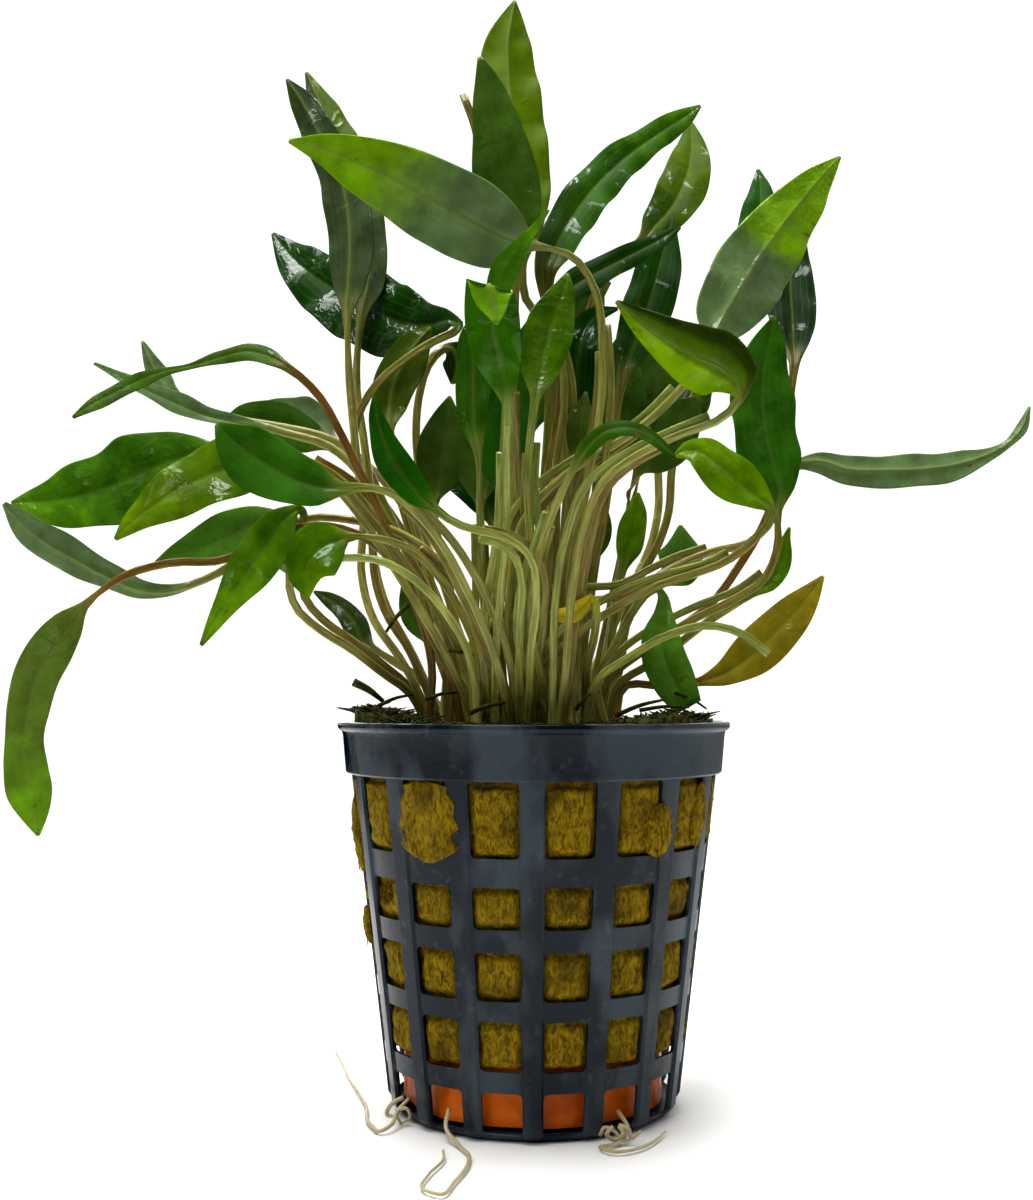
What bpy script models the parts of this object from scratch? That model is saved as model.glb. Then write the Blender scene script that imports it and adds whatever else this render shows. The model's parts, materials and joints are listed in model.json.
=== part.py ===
"""A water trumpet plant in its 5 cm net pot, standing on its base.

Every leaf, with its stalk, is one solid; so are the pot, the wool plug, the rolled strip,
the moss and each root. Lengths are in millimetres and turned into metres when a mesh is made.

The foliage is set out as it is seen from the front. "Seen" points are read against an upright
ruler through the pot's axis, from an eye 200 mm in front of it; a depth then slides the point
along the line of sight. A leaf can be moved nearer or farther without changing its outline.
"""

import math

import bpy
import numpy as np

MM = 0.001

# The net pot: a tapered basket with a collar, 16 ribs and five rows of windows.
BODY_TOP_R = 25.6
BASE_R = 20.0
COLLAR_Z = 45.4
RIM_Z = 52.5
WALL = 0.8
RIBS = 16
RIB_ANGLE = math.radians(7.5)
RIB_TURN = math.radians(-1.0)
WINDOW_ROWS = ((0.9, 6.3), (9.0, 15.3), (17.9, 24.0), (26.9, 32.2), (35.8, 45.4))

# The pot's wall where it isn't straight: outer radius and height, inner radius and height.
FLOOR_PROFILE = (
    (5.0, 0.0, 5.0, WALL),  # the hub
    (14.5, 0.0, 14.5, WALL),  # the outer ends of the slots in the floor
    (18.2, 0.0, 17.9, WALL),  # where the floor turns up
    (19.6, 0.9, 18.8, 1.1),  # the sill of the lowest windows
)
COLLAR_PROFILE = (
    (25.6, 45.4, 24.8, 45.8),  # the ledge that the collar stands out on
    (26.3, 45.4, 25.5, 46.2),  # the foot of the collar
    (26.9, 51.4, 26.1, 51.9),  # the neck under the rim
    (27.5, 51.5, 26.7, 52.2),  # the lower edge of the rim
    (27.5, 52.5, 26.7, 52.5),  # the top of the rim
)
OPEN, SOLID, SLOTTED = "open", "solid", "slotted"

# What fills it. Pieces that touch keep a small gap.
GAP = 0.3
STRIP_R = 17.9
STRIP_WALL = 0.4
STRIP_Z = (1.4, 10.2)
STRIP_ARC = math.radians(340)
STRIP_STEPS = 26
WOOL_TOP = 49.6
WOOL_SIDES = 24
WOOL_BODY_Z = (22, 34, 45)  # heights where the plug's tapered side has a ring
MOSS_FLOOR = 49.9
MOSS_TOP = 52.35
MOSS_SIDES = 28
MOSS_RINGS = (6.0, 13.0, 18.5, 22.5, 25.2)
MOSS_SKIRT = ((25.0, 51.1), (24.4, MOSS_FLOOR))  # radius and height of its edge, downwards
CUT_Z = 52.7  # where the stalks leave the moss
ROOT_REACH = 17.5  # how far from the middle a stalk may stand, front or back

# The eye that the seen points are read from.
EYE = np.array((-2.4, -200.0, 56.0))

# Leaf sections.
STALK_W = 1.55
STALK_T = 1.15
BLADE_T = 0.55
TIP_T = 0.35
FOOT_SHARE = 0.35  # how far the first section of a blade has opened
TOP_SHARE = 0.36  # the part of the thickness that lies above the edges
FOLDED = -0.8  # cosine of the turn between two sections from which a leaf is folded back

# Roots, and shading.
ROOT_W = 0.75
ROOT_SIDES = 5
ROOT_TAPER = 0.45
SHARP_ANGLE = math.radians(40)

# How leaves that would meet are slid apart.
SPARE = 0.6  # room kept between two leaves
CELL = 0.8  # leaves are compared where they share a sight line of this width
ROUNDS = 400
PUSH_SHARE = 0.3  # the part of what is lacking that one round mends
PUSH_LEAST = 0.02

UPPER, UNDER = 1, -1

# Colours as red, green and blue, and the roughness of each surface.
LEAF_COLOURS = {"bright": 0x557A12, "fresh": 0x416613, "deep": 0x2C4A1B, "dark": 0x16281A,
                "grey": 0x66754F, "olive": 0x4A4B16, "ochre": 0x7C6418}
POT_COLOUR, WOOL_COLOUR, STRIP_COLOUR = 0x37414B, 0x77601A, 0xC0591A
MOSS_COLOUR, ROOT_COLOUR, STALK_COLOUR = 0x2B2A14, 0xB9AC8C, 0x8E8B45
LEAF_ROUGHNESS, POT_ROUGHNESS, FIBRE_ROUGHNESS = 0.35, 0.45, 0.95


def seen(across, up, depth=0.0):
    """The point that lies behind a mark on the ruler plane, at this depth past it."""
    ruler = np.array((across, 0.0, up))
    return EYE + (ruler - EYE) * (-EYE[1] + depth) / -EYE[1]


def seen_mark(point):
    """Where a point in space is read on the ruler plane."""
    point = np.asarray(point, float)
    scale = -EYE[1] / (point[1] - EYE[1])
    mark = EYE + (point - EYE) * scale
    return mark[0], mark[2]


def body_radius(z):
    return BASE_R + (BODY_TOP_R - BASE_R) * z / COLLAR_Z


# Each leaf: where its stalk leaves the moss (x, y), the seen points of the stalk, the seen
# points of the blade with its width there, the depth at the foot and at the tip of the blade,
# how steeply the blade leans away across its width, how deep its fold is, its side in view
# and its colour.
LEAVES = {
    # Upper left
    "leaf_tall_left": ((-14, -6), [(-18.7, 61), (-22.8, 67), (-24.5, 73.5), (-24.3, 81),
        (-25.4, 91), (-26.4, 101)],
        [(-26.8, 111, 1.8), (-26.6, 115, 4.6), (-26.4, 120, 6.3), (-26.8, 126, 6.8),
         (-28.2, 132, 6.4), (-31.3, 138, 5.0), (-33.7, 142.5, 3.7), (-35.9, 145.8, 0.5)],
        (0, 14), 0.35, 0.25, UNDER, "grey"),
    "leaf_tall_left_back": ((-13, 0), [(-17.2, 62), (-21, 69), (-22.8, 76), (-23.2, 84),
        (-24.2, 92), (-25.4, 101)],
        [(-24.8, 110.5, 1.8), (-24, 115, 4.8), (-23.8, 120, 5.4), (-24.8, 126, 6.0),
         (-26.6, 132, 6.2), (-29, 138, 5.4), (-31.2, 142.6, 3.6), (-33.1, 146.8, 0.5)],
        (14, 38), -0.4, 0.25, UNDER, "grey"),
    "leaf_arching_grey": ((4.6, -12), [(4.6, 62), (5.2, 72), (6.5, 80), (8.4, 89.5),
        (9.8, 98.5), (10, 106), (8.9, 114.6), (5.8, 119.4)],
        [(0.4, 121, 1.8), (-3.5, 122, 9), (-8, 124.2, 12.2), (-13.7, 127.4, 12.4),
         (-20.2, 130.9, 10.8), (-26.2, 133.7, 7.8), (-31, 135.6, 4.4), (-35.5, 136.6, 0.6)],
        (-26, -22), 0.35, 0.15, UNDER, "grey"),
    "leaf_dark_left": ((-11, 6), [(-12.9, 60), (-15.5, 66), (-18.7, 73.6), (-21.8, 81),
        (-25, 88.5), (-25.6, 94.3), (-23.4, 99.6), (-18.5, 104.3), (-14, 107.2)],
        [(-11.5, 108.3, 1.5), (-10.8, 109.4, 1.6), (-11.9, 110.2, 2.4),
         (-14.2, 109.6, 5.8), (-17.6, 109.4, 9.6), (-22.6, 111.1, 11.4),
         (-27, 113.5, 10.8), (-31.3, 116.2, 8.6), (-34.6, 119, 5.6), (-37.7, 122.8, 0.6)],
        (6, 34), -0.35, 0.15, UPPER, "deep"),
    "leaf_olive_left": ((-10, 3), [(-12, 63), (-14.5, 72), (-17, 80), (-19.5, 88)],
        [(-20.6, 94, 1.6), (-20.5, 97.5, 4.8), (-19.8, 101, 6.4), (-18.2, 104.6, 6.0),
         (-16.2, 107.4, 3.6), (-14.7, 109, 0.6)],
        (2, 8), 0.4, 0.2, UNDER, "olive"),
    # Left
    "leaf_edge_left": ((-10, -9), [(-11.5, 58), (-14, 63.5), (-17, 70), (-19.8, 77),
        (-22.8, 84), (-25.2, 88.7), (-27.9, 94.1), (-30.4, 98.5), (-33, 101.4)],
        [(-35.4, 103.2, 1.5), (-38, 104.7, 2.4), (-41.3, 105.5, 2.5), (-45, 104.6, 1.9),
         (-49.5, 103.3, 0.9), (-53, 102.6, 1.2), (-57, 101, 2.3), (-61.5, 98.7, 2.4),
         (-64, 97.3, 1.5), (-66.1, 95.9, 0.4)],
        (-16, -8), -1.1, 0.2, UPPER, "fresh"),
    "leaf_blue_left": ((-13, 3.5), [(-12.5, 61), (-16, 69), (-19.5, 76.5), (-22.5, 83),
        (-25.6, 88.6), (-29.5, 91.8), (-34.5, 93.4)],
        [(-38.5, 94.5, 1.4), (-43, 95.5, 1.8), (-47, 96.4, 2.4), (-51, 98, 3),
         (-55, 99.8, 2.4), (-59, 101.7, 1.4), (-63.2, 103.8, 0.4)],
        (4, 6), 0.9, 0.2, UNDER, "grey"),
    "leaf_blue_left_back": ((-9, 7.5), [(-12, 62), (-15, 70), (-18.6, 77.5), (-21.6, 84),
        (-25, 90.2), (-29.5, 92.9), (-35, 94.3)],
        [(-41, 95.4, 1.2), (-46, 96, 1.7), (-49.8, 97.3, 2.3), (-52.2, 99.3, 2.8),
         (-53.9, 102, 3), (-55.2, 104.4, 2.1), (-56.3, 107, 0.4)],
        (14, 26), 0.9, 0.2, UNDER, "grey"),
    "leaf_round_left": ((-7, 10), [(-11, 63), (-15, 73), (-20, 81.5), (-25, 88)],
        [(-29, 91.6, 1.6), (-32, 93, 4.8), (-35.5, 94.5, 6.4), (-39, 95.5, 5.8),
         (-42, 95.9, 3.8), (-44.4, 95.3, 0.6)],
        (20, 30), -0.3, 0.15, UPPER, "deep"),
    "leaf_round_left_back": ((-6, 14), [(-10.5, 65), (-14, 75), (-18.5, 83), (-23.5, 88.8)],
        [(-28.2, 92, 1.6), (-30.4, 94.2, 4.0), (-32.7, 95.7, 6.2), (-35.6, 96.5, 5.0),
         (-38.3, 97, 2.8), (-40.5, 97.3, 0.5)],
        (32, 48), -0.3, 0.15, UNDER, "grey"),
    "leaf_broad_left": ((-12, -4), [(-13, 62.5), (-16.5, 69), (-20.5, 77), (-25, 84.5),
        (-31, 89), (-38, 91)],
        [(-44.6, 91.2, 1.8), (-47.6, 90.7, 4.8), (-51.5, 89.8, 9), (-56, 87.8, 11.4),
         (-61, 85.6, 11.2), (-66, 84.2, 8.8), (-70.5, 83.6, 5.4), (-74.6, 83.5, 0.6)],
        (-8, -2), -0.5, 0.12, UPPER, "fresh"),
    "leaf_bright_left": ((-8, -10.5), [(-11.5, 60), (-16, 68), (-21, 76), (-25.8, 83),
        (-30, 87.4)],
        [(-34.5, 90, 2.4), (-37.5, 90, 5), (-40.8, 89.4, 7.6), (-45.3, 87.9, 8.8),
         (-49.8, 85.8, 8.0), (-53.9, 83.2, 5.6), (-57.4, 80.6, 3.2), (-59.7, 78.3, 0.5)],
        (-20, -24), -0.5, 0.12, UPPER, "bright"),
    "leaf_dark_front_left": ((-3.4, -15), [(-4.6, 58.5), (-6.2, 63.5), (-9, 70),
        (-12.4, 76.6), (-16.2, 81.6), (-20.2, 84.9), (-24, 85.8)],
        [(-27.4, 85.6, 2.6), (-30.5, 85.8, 5.6), (-34, 86.8, 7.6), (-38, 88.9, 8.9),
         (-41.5, 91.1, 8), (-43.9, 93.2, 4.6), (-45.4, 95, 0.9)],
        (-30, -32), -0.4, 0.15, UPPER, "deep"),
    "leaf_olive_lower_left": ((-13.8, -2.5), [(-17.6, 57.3), (-21.3, 60.4), (-25.4, 63.6),
        (-30, 66.9), (-32.5, 69.9), (-33.1, 73.5), (-33.5, 78)],
        [(-36, 81.5, 1.6), (-39.2, 80.7, 5.2), (-42.5, 79.3, 6.6), (-46.4, 77.7, 6),
         (-50.3, 76.3, 3.8), (-53.9, 74.9, 0.5)],
        (-8, -4), -0.4, 0.15, UPPER, "deep"),
    "leaf_grey_lower_left": ((-4.5, -10.5), [(-5.8, 60), (-7.9, 66.5), (-11, 72),
        (-15, 76.6), (-20, 79.6), (-26, 81.1), (-32.5, 81.3), (-38.5, 78.3), (-44, 74)],
        [(-48.8, 71.8, 1.4), (-52, 71, 1.8), (-56, 71.2, 2.7), (-60, 72.8, 3.7),
         (-65, 75.4, 4.7), (-70, 78.2, 4.9), (-73.4, 81, 3.4), (-75.7, 83.5, 0.6)],
        (-14, -22), 0.5, 0.15, UNDER, "grey"),
    "leaf_drooping": ((-14.6, -4.2), [(-14.4, 60), (-16, 67), (-19.2, 74), (-25, 79),
        (-32, 80.3), (-38.5, 78), (-44, 75.4), (-52, 74.9), (-58.5, 73)],
        [(-63.8, 68.9, 1.6), (-66, 66.3, 4.6), (-68.3, 63, 6.4), (-70.4, 59, 6.6),
         (-71.5, 54.5, 6.2), (-72, 50, 5.5), (-71.7, 46, 6.3), (-71, 42, 6.4),
         (-70.2, 39, 3.8), (-69.7, 36.4, 0.5)],
        (-24, -30), 0.3, 0.15, UPPER, "fresh"),
    "leaf_pointed_lower_left": ((-15.4, -0.5), [(-17.3, 56.2), (-21.3, 59.2),
        (-25.5, 62.4), (-30.3, 65.4), (-33.6, 68.3), (-34.8, 72), (-34.2, 76),
        (-32.8, 79.8)],
        [(-32.8, 81.7, 1.4), (-33.8, 82.5, 1.6), (-35.3, 81.4, 3.8), (-37.4, 78.4, 6.8),
         (-39.9, 74.8, 6.6),
         (-42.7, 70.6, 4.7), (-45.2, 66.6, 2.4), (-47.2, 63.2, 0.5)],
        (-16, -26), -0.3, 0.15, UPPER, "bright"),
    "leaf_short_lower_left": ((-7.6, -12), [(-7.4, 60), (-9.4, 66), (-12.4, 71.5),
        (-16.7, 76.3), (-21.5, 78.3)],
        [(-26.4, 78.6, 1.8), (-28.2, 78, 5.6), (-30.4, 76.9, 8), (-32, 75, 7.6),
         (-32.6, 72.8, 4.8), (-32.1, 70, 0.6)],
        (-20, -22), -0.3, 0.15, UPPER, "bright"),
    "leaf_pale_stalk": ((-7.4, -15.5), [(-8.3, 58), (-9.4, 62.5), (-11.9, 67), (-15, 70.8),
        (-18.4, 73.6), (-22, 75.3), (-25.4, 75.7)],
        [(-28.5, 75.5, 1.4), (-31, 75, 3.2), (-34, 74.5, 3.6), (-36, 75, 2),
         (-37.7, 75.7, 0.4)],
        (-14, -10), 0.5, 0.15, UNDER, "grey"),
    "leaf_small_dark_left": ((-13, 8), [(-16, 58.3), (-20, 61)],
        [(-22.8, 62.8, 1.3), (-24.4, 64, 3.4), (-25.4, 66.2, 3.6), (-27, 68.2, 3),
         (-29.3, 69.8, 2.0), (-31.2, 70.8, 0.4)],
        (12, 20), -0.4, 0.15, UPPER, "dark"),
    # Top
    "leaf_tallest": ((1, -7.5), [(1.6, 61), (2, 71), (2.3, 80), (3.4, 90), (4.5, 98),
        (4, 104.5), (2, 109.6), (-0.8, 112.6)],
        [(-1.7, 117.5, 1.8), (-1.4, 123.5, 5.5), (-1.7, 129, 8.6), (-2.4, 135, 9.3),
         (-3.1, 141, 9.2), (-3.7, 147, 8.4), (-3.7, 151.5, 6.6), (-3.1, 155, 3.6),
         (-2.7, 157.6, 0.5)],
        (-12, 10), -0.25, 0.2, UNDER, "bright"),
    "leaf_glossy_top": ((-3, 2), [(-2.9, 62), (-3.4, 75), (-3.2, 88), (-2.9, 100),
        (-2.7, 110)],
        [(-2.4, 116.5, 1.8), (-2.3, 121, 5), (-2.9, 126, 8.4), (-3.8, 130.5, 9.4),
         (-4.6, 135, 8.6), (-5.4, 139.6, 7), (-6.3, 143.8, 4.8), (-7.1, 147, 2.6),
         (-7.8, 149.2, 0.6)],
        (-18, -22), 0.25, 0.12, UPPER, "deep"),
    "leaf_arching_right": ((1.5, 7), [(1.8, 62), (2.4, 76), (3, 90), (3, 102), (2.2, 111)],
        [(1.7, 116.4, 3.4), (3.1, 120.6, 5.4), (5.5, 125, 6.3), (8.5, 129.2, 6.4),
         (12, 132.9, 5.8), (15.8, 135.9, 4.8), (19.3, 138.3, 4), (22.2, 140.2, 2.8),
         (24.4, 141.8, 0.5)],
        (-4, 20), 0.4, 0.2, UPPER, "fresh"),
    "leaf_hanging_right": ((6.5, 8), [(4.4, 62), (6, 76), (7.6, 90), (8.2, 102),
        (7.9, 110.5), (10.4, 116.6), (13.2, 119.6)],
        [(15.6, 121.6, 2), (17.6, 124, 4.4), (20, 126.7, 6.4), (21.7, 129.8, 7.2),
         (22.8, 133.2, 6.2), (23.1, 136.6, 3.8), (22.9, 139.5, 0.6)],
        (18, 38), 0.3, 0.2, UPPER, "bright"),
    "leaf_dark_right": ((3.5, 2.5), [(3.8, 62), (4.6, 78), (4.6, 92), (3.9, 104),
        (3.2, 110.5)],
        [(3.4, 113.6, 1.8), (5.6, 115, 4.2), (9, 117, 4.4), (12.5, 118.8, 3.7),
         (16, 120.6, 3), (19, 122.2, 2.2), (21.3, 123.8, 0.5)],
        (-10, 2), 0.6, 0.2, UPPER, "deep"),
    # Upper right
    "leaf_upright_right": ((8, -5), [(7.2, 62), (7.6, 71), (9.4, 78), (10.8, 86),
        (11.6, 92), (12, 97)],
        [(12.7, 101, 1.8), (13.9, 105, 4.6), (15.6, 109.5, 6.6), (17.4, 114.6, 7.2),
         (18.6, 119, 6), (19.5, 122.4, 3.2), (20.2, 125.2, 0.5)],
        (-4, 8), 0.35, 0.2, UPPER, "deep"),
    "leaf_grey_right": ((-2.2, -13), [(-3.3, 62), (-3.5, 69.4), (-3, 75.3), (-1.4, 81),
        (2.3, 85.6), (7.5, 89.6), (13, 92.8), (18.3, 97), (22.3, 101.5)],
        [(25.3, 106.3, 2), (26.7, 109.3, 7), (28.9, 113, 10.2), (31.9, 117.8, 11),
         (35.4, 123, 9.6), (39, 127.7, 7), (42, 131.4, 4), (44.6, 134.2, 0.5)],
        (-20, -6), -0.3, 0.12, UNDER, "grey"),
    "leaf_behind_grey_right": ((9, 10), [(10.6, 58), (12.2, 63), (13.2, 67.6), (15.3, 73),
        (18, 78), (19.4, 82.5), (19.8, 88), (20.9, 94), (23.6, 100), (27, 106.6)],
        [(29.8, 112.6, 1.6), (31.6, 118, 4.8), (32.6, 123, 6.2), (33, 127, 5),
         (33, 130, 2.8), (32.7, 132.3, 0.5)],
        (28, 48), 0.3, 0.2, UPPER, "deep"),
    "leaf_far_right_back": ((8.5, 1.5), [(10.5, 58.3), (14.5, 61.6), (20, 65.2),
        (25.4, 69.2), (29.4, 74.6), (33.4, 81.6), (35.6, 89), (36.8, 98)],
        [(37.6, 103.6, 1.8), (37.5, 107, 5), (37.4, 111, 7), (37.2, 115, 7),
         (37.4, 119, 5.4), (38, 122.4, 3), (38.4, 125.4, 0.5)],
        (16, 38), 0.4, 0.2, UPPER, "dark"),
    "leaf_broad_right": ((8.5, -3), [(11, 59), (16, 62.6), (22, 66.5), (28.5, 69.7),
        (33, 72.8), (34.8, 77)],
        [(34.9, 82.4, 1.6), (35.2, 85.5, 4.4), (34.2, 89.5, 8.4), (33.2, 94.5, 9.2),
         (32.9, 99.5, 8.8), (33.3, 104, 7), (34.2, 108, 3.6), (34.8, 110.6, 0.6)],
        (-2, 6), -0.4, 0.15, UPPER, "deep"),
    "leaf_folded_right": ((3.2, -15), [(4.6, 60), (5.4, 70), (7, 79), (10, 86.6),
        (15.5, 90.8), (21.5, 93.6), (27, 95.8)],
        [(29.6, 98.6, 1.8), (29.2, 101.3, 7), (27, 103.2, 10), (23.3, 105, 9.4),
         (19.5, 107.2, 7), (15.5, 110, 4), (12, 112.9, 0.6)],
        (-32, -34), 0.3, 0.35, UNDER, "bright"),
    # Centre front
    "leaf_centre_folded": ((-5.2, -13.5), [(-5.3, 62), (-4.7, 70), (-3.9, 78), (-3.8, 86),
        (-3.8, 92.5)],
        [(-3.8, 98, 1.8), (-4.2, 101, 4.2), (-5, 104.5, 6.8), (-5.7, 108.5, 7.9),
         (-6.1, 112, 7.8), (-6.2, 115.2, 7.2), (-5.8, 113, 5.2), (-5.4, 111, 2.8),
         (-5.3, 109.5, 0.5)],
        (-32, -40), 0.15, 0.15, UPPER, "fresh"),
    "leaf_centre_bright": ((-0.4, -10.5), [(-0.7, 62), (-0.7, 72), (-0.6, 80), (-0.8, 88),
        (-0.3, 94)],
        [(0.3, 98.6, 1.8), (0.9, 102, 5), (1.6, 106, 6.8), (2.7, 110, 6.9),
         (4, 113.5, 4.4), (4.6, 115.5, 2.4), (4.9, 117, 0.5)],
        (-20, -14), -0.3, 0.2, UPPER, "bright"),
    "leaf_small_top": ((-2, -5), [(-2.2, 64), (-2, 78), (-2.4, 92), (-4, 104)],
        [(-4.8, 111, 1.4), (-4.9, 115, 3.8), (-4.2, 117.4, 3.8), (-2.5, 120, 2.8),
         (-0.4, 122.8, 1.6), (2.2, 126.3, 0.4)],
        (-26, -38), 0.4, 0.2, UPPER, "fresh"),
    "leaf_beside_centre": ((-6, -6), [(-6.5, 62), (-7.2, 72), (-7.6, 82)],
        [(-7.9, 90.6, 1.4), (-8.5, 95, 4), (-8.6, 99.5, 5), (-8.6, 104, 5.2),
         (-8.4, 108, 4), (-8, 111.5, 0.6)],
        (-14, -8), 0.4, 0.2, UPPER, "fresh"),
    "leaf_behind_centre": ((-4.6, 1), [(-4.5, 64), (-4.8, 74), (-4.4, 80)],
        [(-3.9, 84, 1.4), (-4.3, 88, 6), (-4.4, 93, 8), (-4, 97.5, 7.4),
         (-3.4, 101.5, 4.4), (-3, 104.6, 0.5)],
        (4, 8), -0.3, 0.2, UPPER, "dark"),
    "leaf_slim_front_left": ((-0.8, -15), [(-0.4, 62), (0.4, 70), (-0.4, 75.8),
        (-4.3, 78.8), (-8, 79.6), (-11.4, 80.8)],
        [(-13.9, 82.6, 1.6), (-16.2, 84.6, 3.8), (-18.6, 87.4, 4.7), (-20.7, 90.5, 4.6),
         (-22, 94, 3.2), (-22.7, 97, 1.8), (-23, 99.4, 0.4)],
        (-34, -34), -0.3, 0.25, UPPER, "deep"),
    "leaf_round_dark": ((-6.5, 6), [(-5.8, 62), (-5.8, 72)],
        [(-5.6, 80.2, 1.6), (-6.8, 83.6, 4.6), (-8.8, 86.7, 6.6), (-10.9, 89.8, 7.6),
         (-12.4, 92.6, 6.4), (-13.2, 94.7, 4), (-13.4, 95.9, 1)],
        (14, 22), -0.3, 0.15, UPPER, "dark"),
    # Right
    "leaf_long_right": ((-7, -13.8), [(-7.3, 62.5), (-5.2, 67.3), (0.5, 69.1), (7.5, 69.5),
        (13.6, 70.4), (19, 73.8), (25, 76.4), (31, 78), (33.6, 80.4), (35.2, 84)],
        [(37, 88.6, 1.5), (40.5, 89.4, 2.9), (45, 88.2, 4.3), (50.5, 88.1, 4.7),
         (56, 88.3, 4.7), (61, 89.1, 4), (65.2, 90.5, 2), (67.9, 92, 1.2),
         (70.2, 94.5, 1.7), (71.3, 97.4, 0.4)],
        (2, 12), 0.5, 0.15, UNDER, "grey"),
    "leaf_bright_right": ((0.6, -13.5), [(1.5, 60), (5.4, 64), (8.8, 66.7), (12.6, 69),
        (18, 71.8), (23, 73.4), (27.5, 75.2), (31.8, 78.6)],
        [(34, 82.2, 1.6), (32.6, 84, 3.6), (29.9, 86, 6), (26.7, 88.7, 6.4),
         (23.8, 90.8, 4.8), (21.9, 91, 2.6), (20.2, 90.3, 0.5)],
        (-16, -14), -0.5, 0.15, UPPER, "bright"),
    "leaf_small_arch": ((2.6, -11.5), [(0.8, 60), (-0.5, 66), (0, 72.5), (1.6, 79),
        (3.8, 84.5)],
        [(5.8, 88.6, 1.4), (7.8, 91.6, 2.6), (10.5, 93.9, 2.3), (13.8, 94.3, 1.9),
         (17, 93, 1.9), (19, 91.3, 1.5), (20.3, 90, 0.4)],
        (-34, -38), 0.9, 0.15, UPPER, "fresh"),
    "leaf_in_pot_right": ((9.5, -8), [(9, 58), (11.5, 63), (14.5, 68.5), (16.4, 70.8)],
        [(17.7, 71.2, 1.3), (18.4, 70.2, 1.4), (18.5, 68, 2.6), (18.2, 64.8, 5.2),
         (18.5, 61.6, 6.4),
         (19.7, 58.6, 6.2), (21, 56.2, 5.2), (22, 54.4, 4)],
        (-4, -8), -0.3, 0.15, UPPER, "deep"),
    "leaf_yellow_right": ((12, 4), [(12.8, 57.3), (18, 57.5)],
        [(23.4, 58, 1.5), (26.7, 59, 3.4), (29.8, 60.9, 5.6), (33.3, 63.9, 6.7),
         (36.7, 67.3, 5.6), (39.2, 70.2, 3.4), (41.3, 73, 0.5)],
        (10, 14), 0.4, 0.12, UPPER, "ochre"),
    "leaf_triangle_right": ((10.5, 8), [(12.5, 61), (13.2, 66), (15.6, 70)],
        [(18.6, 72, 1.4), (20.2, 73.4, 5.2), (21, 75.4, 6.6), (21.2, 77, 5.2),
         (21.1, 78.7, 2.8), (21, 80.3, 0.5)],
        (14, 22), 0.4, 0.12, UPPER, "deep"),
    "leaf_slim_right": ((10.5, -1), [(12, 57.6), (16, 60.2), (20, 62.9), (24, 66),
        (28, 68.6)],
        [(31.4, 70.6, 1.3), (33.5, 72, 2.6), (35, 74.2, 3.1), (35.7, 76.6, 2.5),
         (36.1, 78.4, 1.3), (36.6, 80, 0.4)],
        (0, 2), 0.4, 0.15, UPPER, "bright"),
    # Low in the middle
    "leaf_old_yellow": ((6.8, -9.5), [(7.6, 60), (8.8, 65.5)],
        [(8.9, 69, 1.3), (8.3, 69.9, 1.3), (7.3, 69.1, 1.9), (6, 68, 2.7),
         (4.4, 67.4, 2.4), (2.4, 68, 0.5)],
        (-18, -20), 0.3, 0.15, UPPER, "ochre"),
    "leaf_low_bright": ((10, 5.5), [(10.8, 62), (11.8, 69)],
        [(12.8, 74, 1.4), (13.6, 77, 3.8), (14.2, 80, 4), (14.8, 82.5, 2.8),
         (15, 85, 0.5)],
        (6, 8), 0.4, 0.15, UPPER, "bright"),
    "leaf_small_right": ((3.5, 5), [(4.5, 64), (5.4, 76), (5.8, 87)],
        [(5.8, 93, 1.6), (6, 97, 4.8), (6.3, 101.5, 5.6), (6.6, 105.5, 5.4),
         (7.6, 108.9, 4.4), (9.4, 111, 2.4), (12.2, 111.8, 0.5)],
        (-4, 2), 0.3, 0.15, UPPER, "dark"),
    "leaf_brown_centre": ((5, -3), [(5.4, 64), (5.9, 76), (6.2, 84)],
        [(6.3, 89, 1.4), (6.5, 92, 3.4), (6.7, 94.6, 3.9), (7.2, 97.2, 2.4),
         (7.6, 99.6, 0.5)],
        (-12, -10), 0.4, 0.15, UPPER, "olive"),
    # Behind
    "leaf_back_left": ((-4, 15), [(-6.5, 62), (-9.4, 69), (-12.2, 75), (-14.6, 81.5),
        (-16.3, 88), (-16.8, 94), (-16.3, 99.5), (-15, 103.6)],
        [(-13, 105.9, 1.6), (-11.6, 105.7, 3.2), (-10.9, 104.2, 4.4), (-11.1, 102.4, 3.4),
         (-11.7, 100.8, 0.5)],
        (26, 30), 0.3, 0.15, UNDER, "dark"),
    "leaf_back_right": ((5, 15), [(8.6, 60), (11.4, 66), (14.2, 72), (16.8, 77.6),
        (17.9, 83), (17.9, 88)],
        [(18, 91.6, 1.6), (19.2, 94, 5), (20.8, 97, 7.4), (22.6, 100.4, 7),
         (24.4, 103.6, 4.4), (26.2, 106.6, 0.6)],
        (34, 56), -0.3, 0.15, UNDER, "dark"),
}

# Stalks whose blade is gone: the same, without a blade.
CUT_STALKS = {
    "stalk_cut_top": ((-5.5, 7), [(-5.5, 64), (-5, 80), (-4.6, 96), (-4.2, 110),
        (-4.6, 119), (-6, 127), (-7.5, 134.5), (-8.7, 139.5), (-10.2, 143.6)], 12),
    "stalk_cut_right": ((6.8, -12), [(9, 58.2), (13.5, 61.4), (19.5, 64.8), (25, 66),
        (29.3, 65), (33.4, 62)], -12),
}

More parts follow.
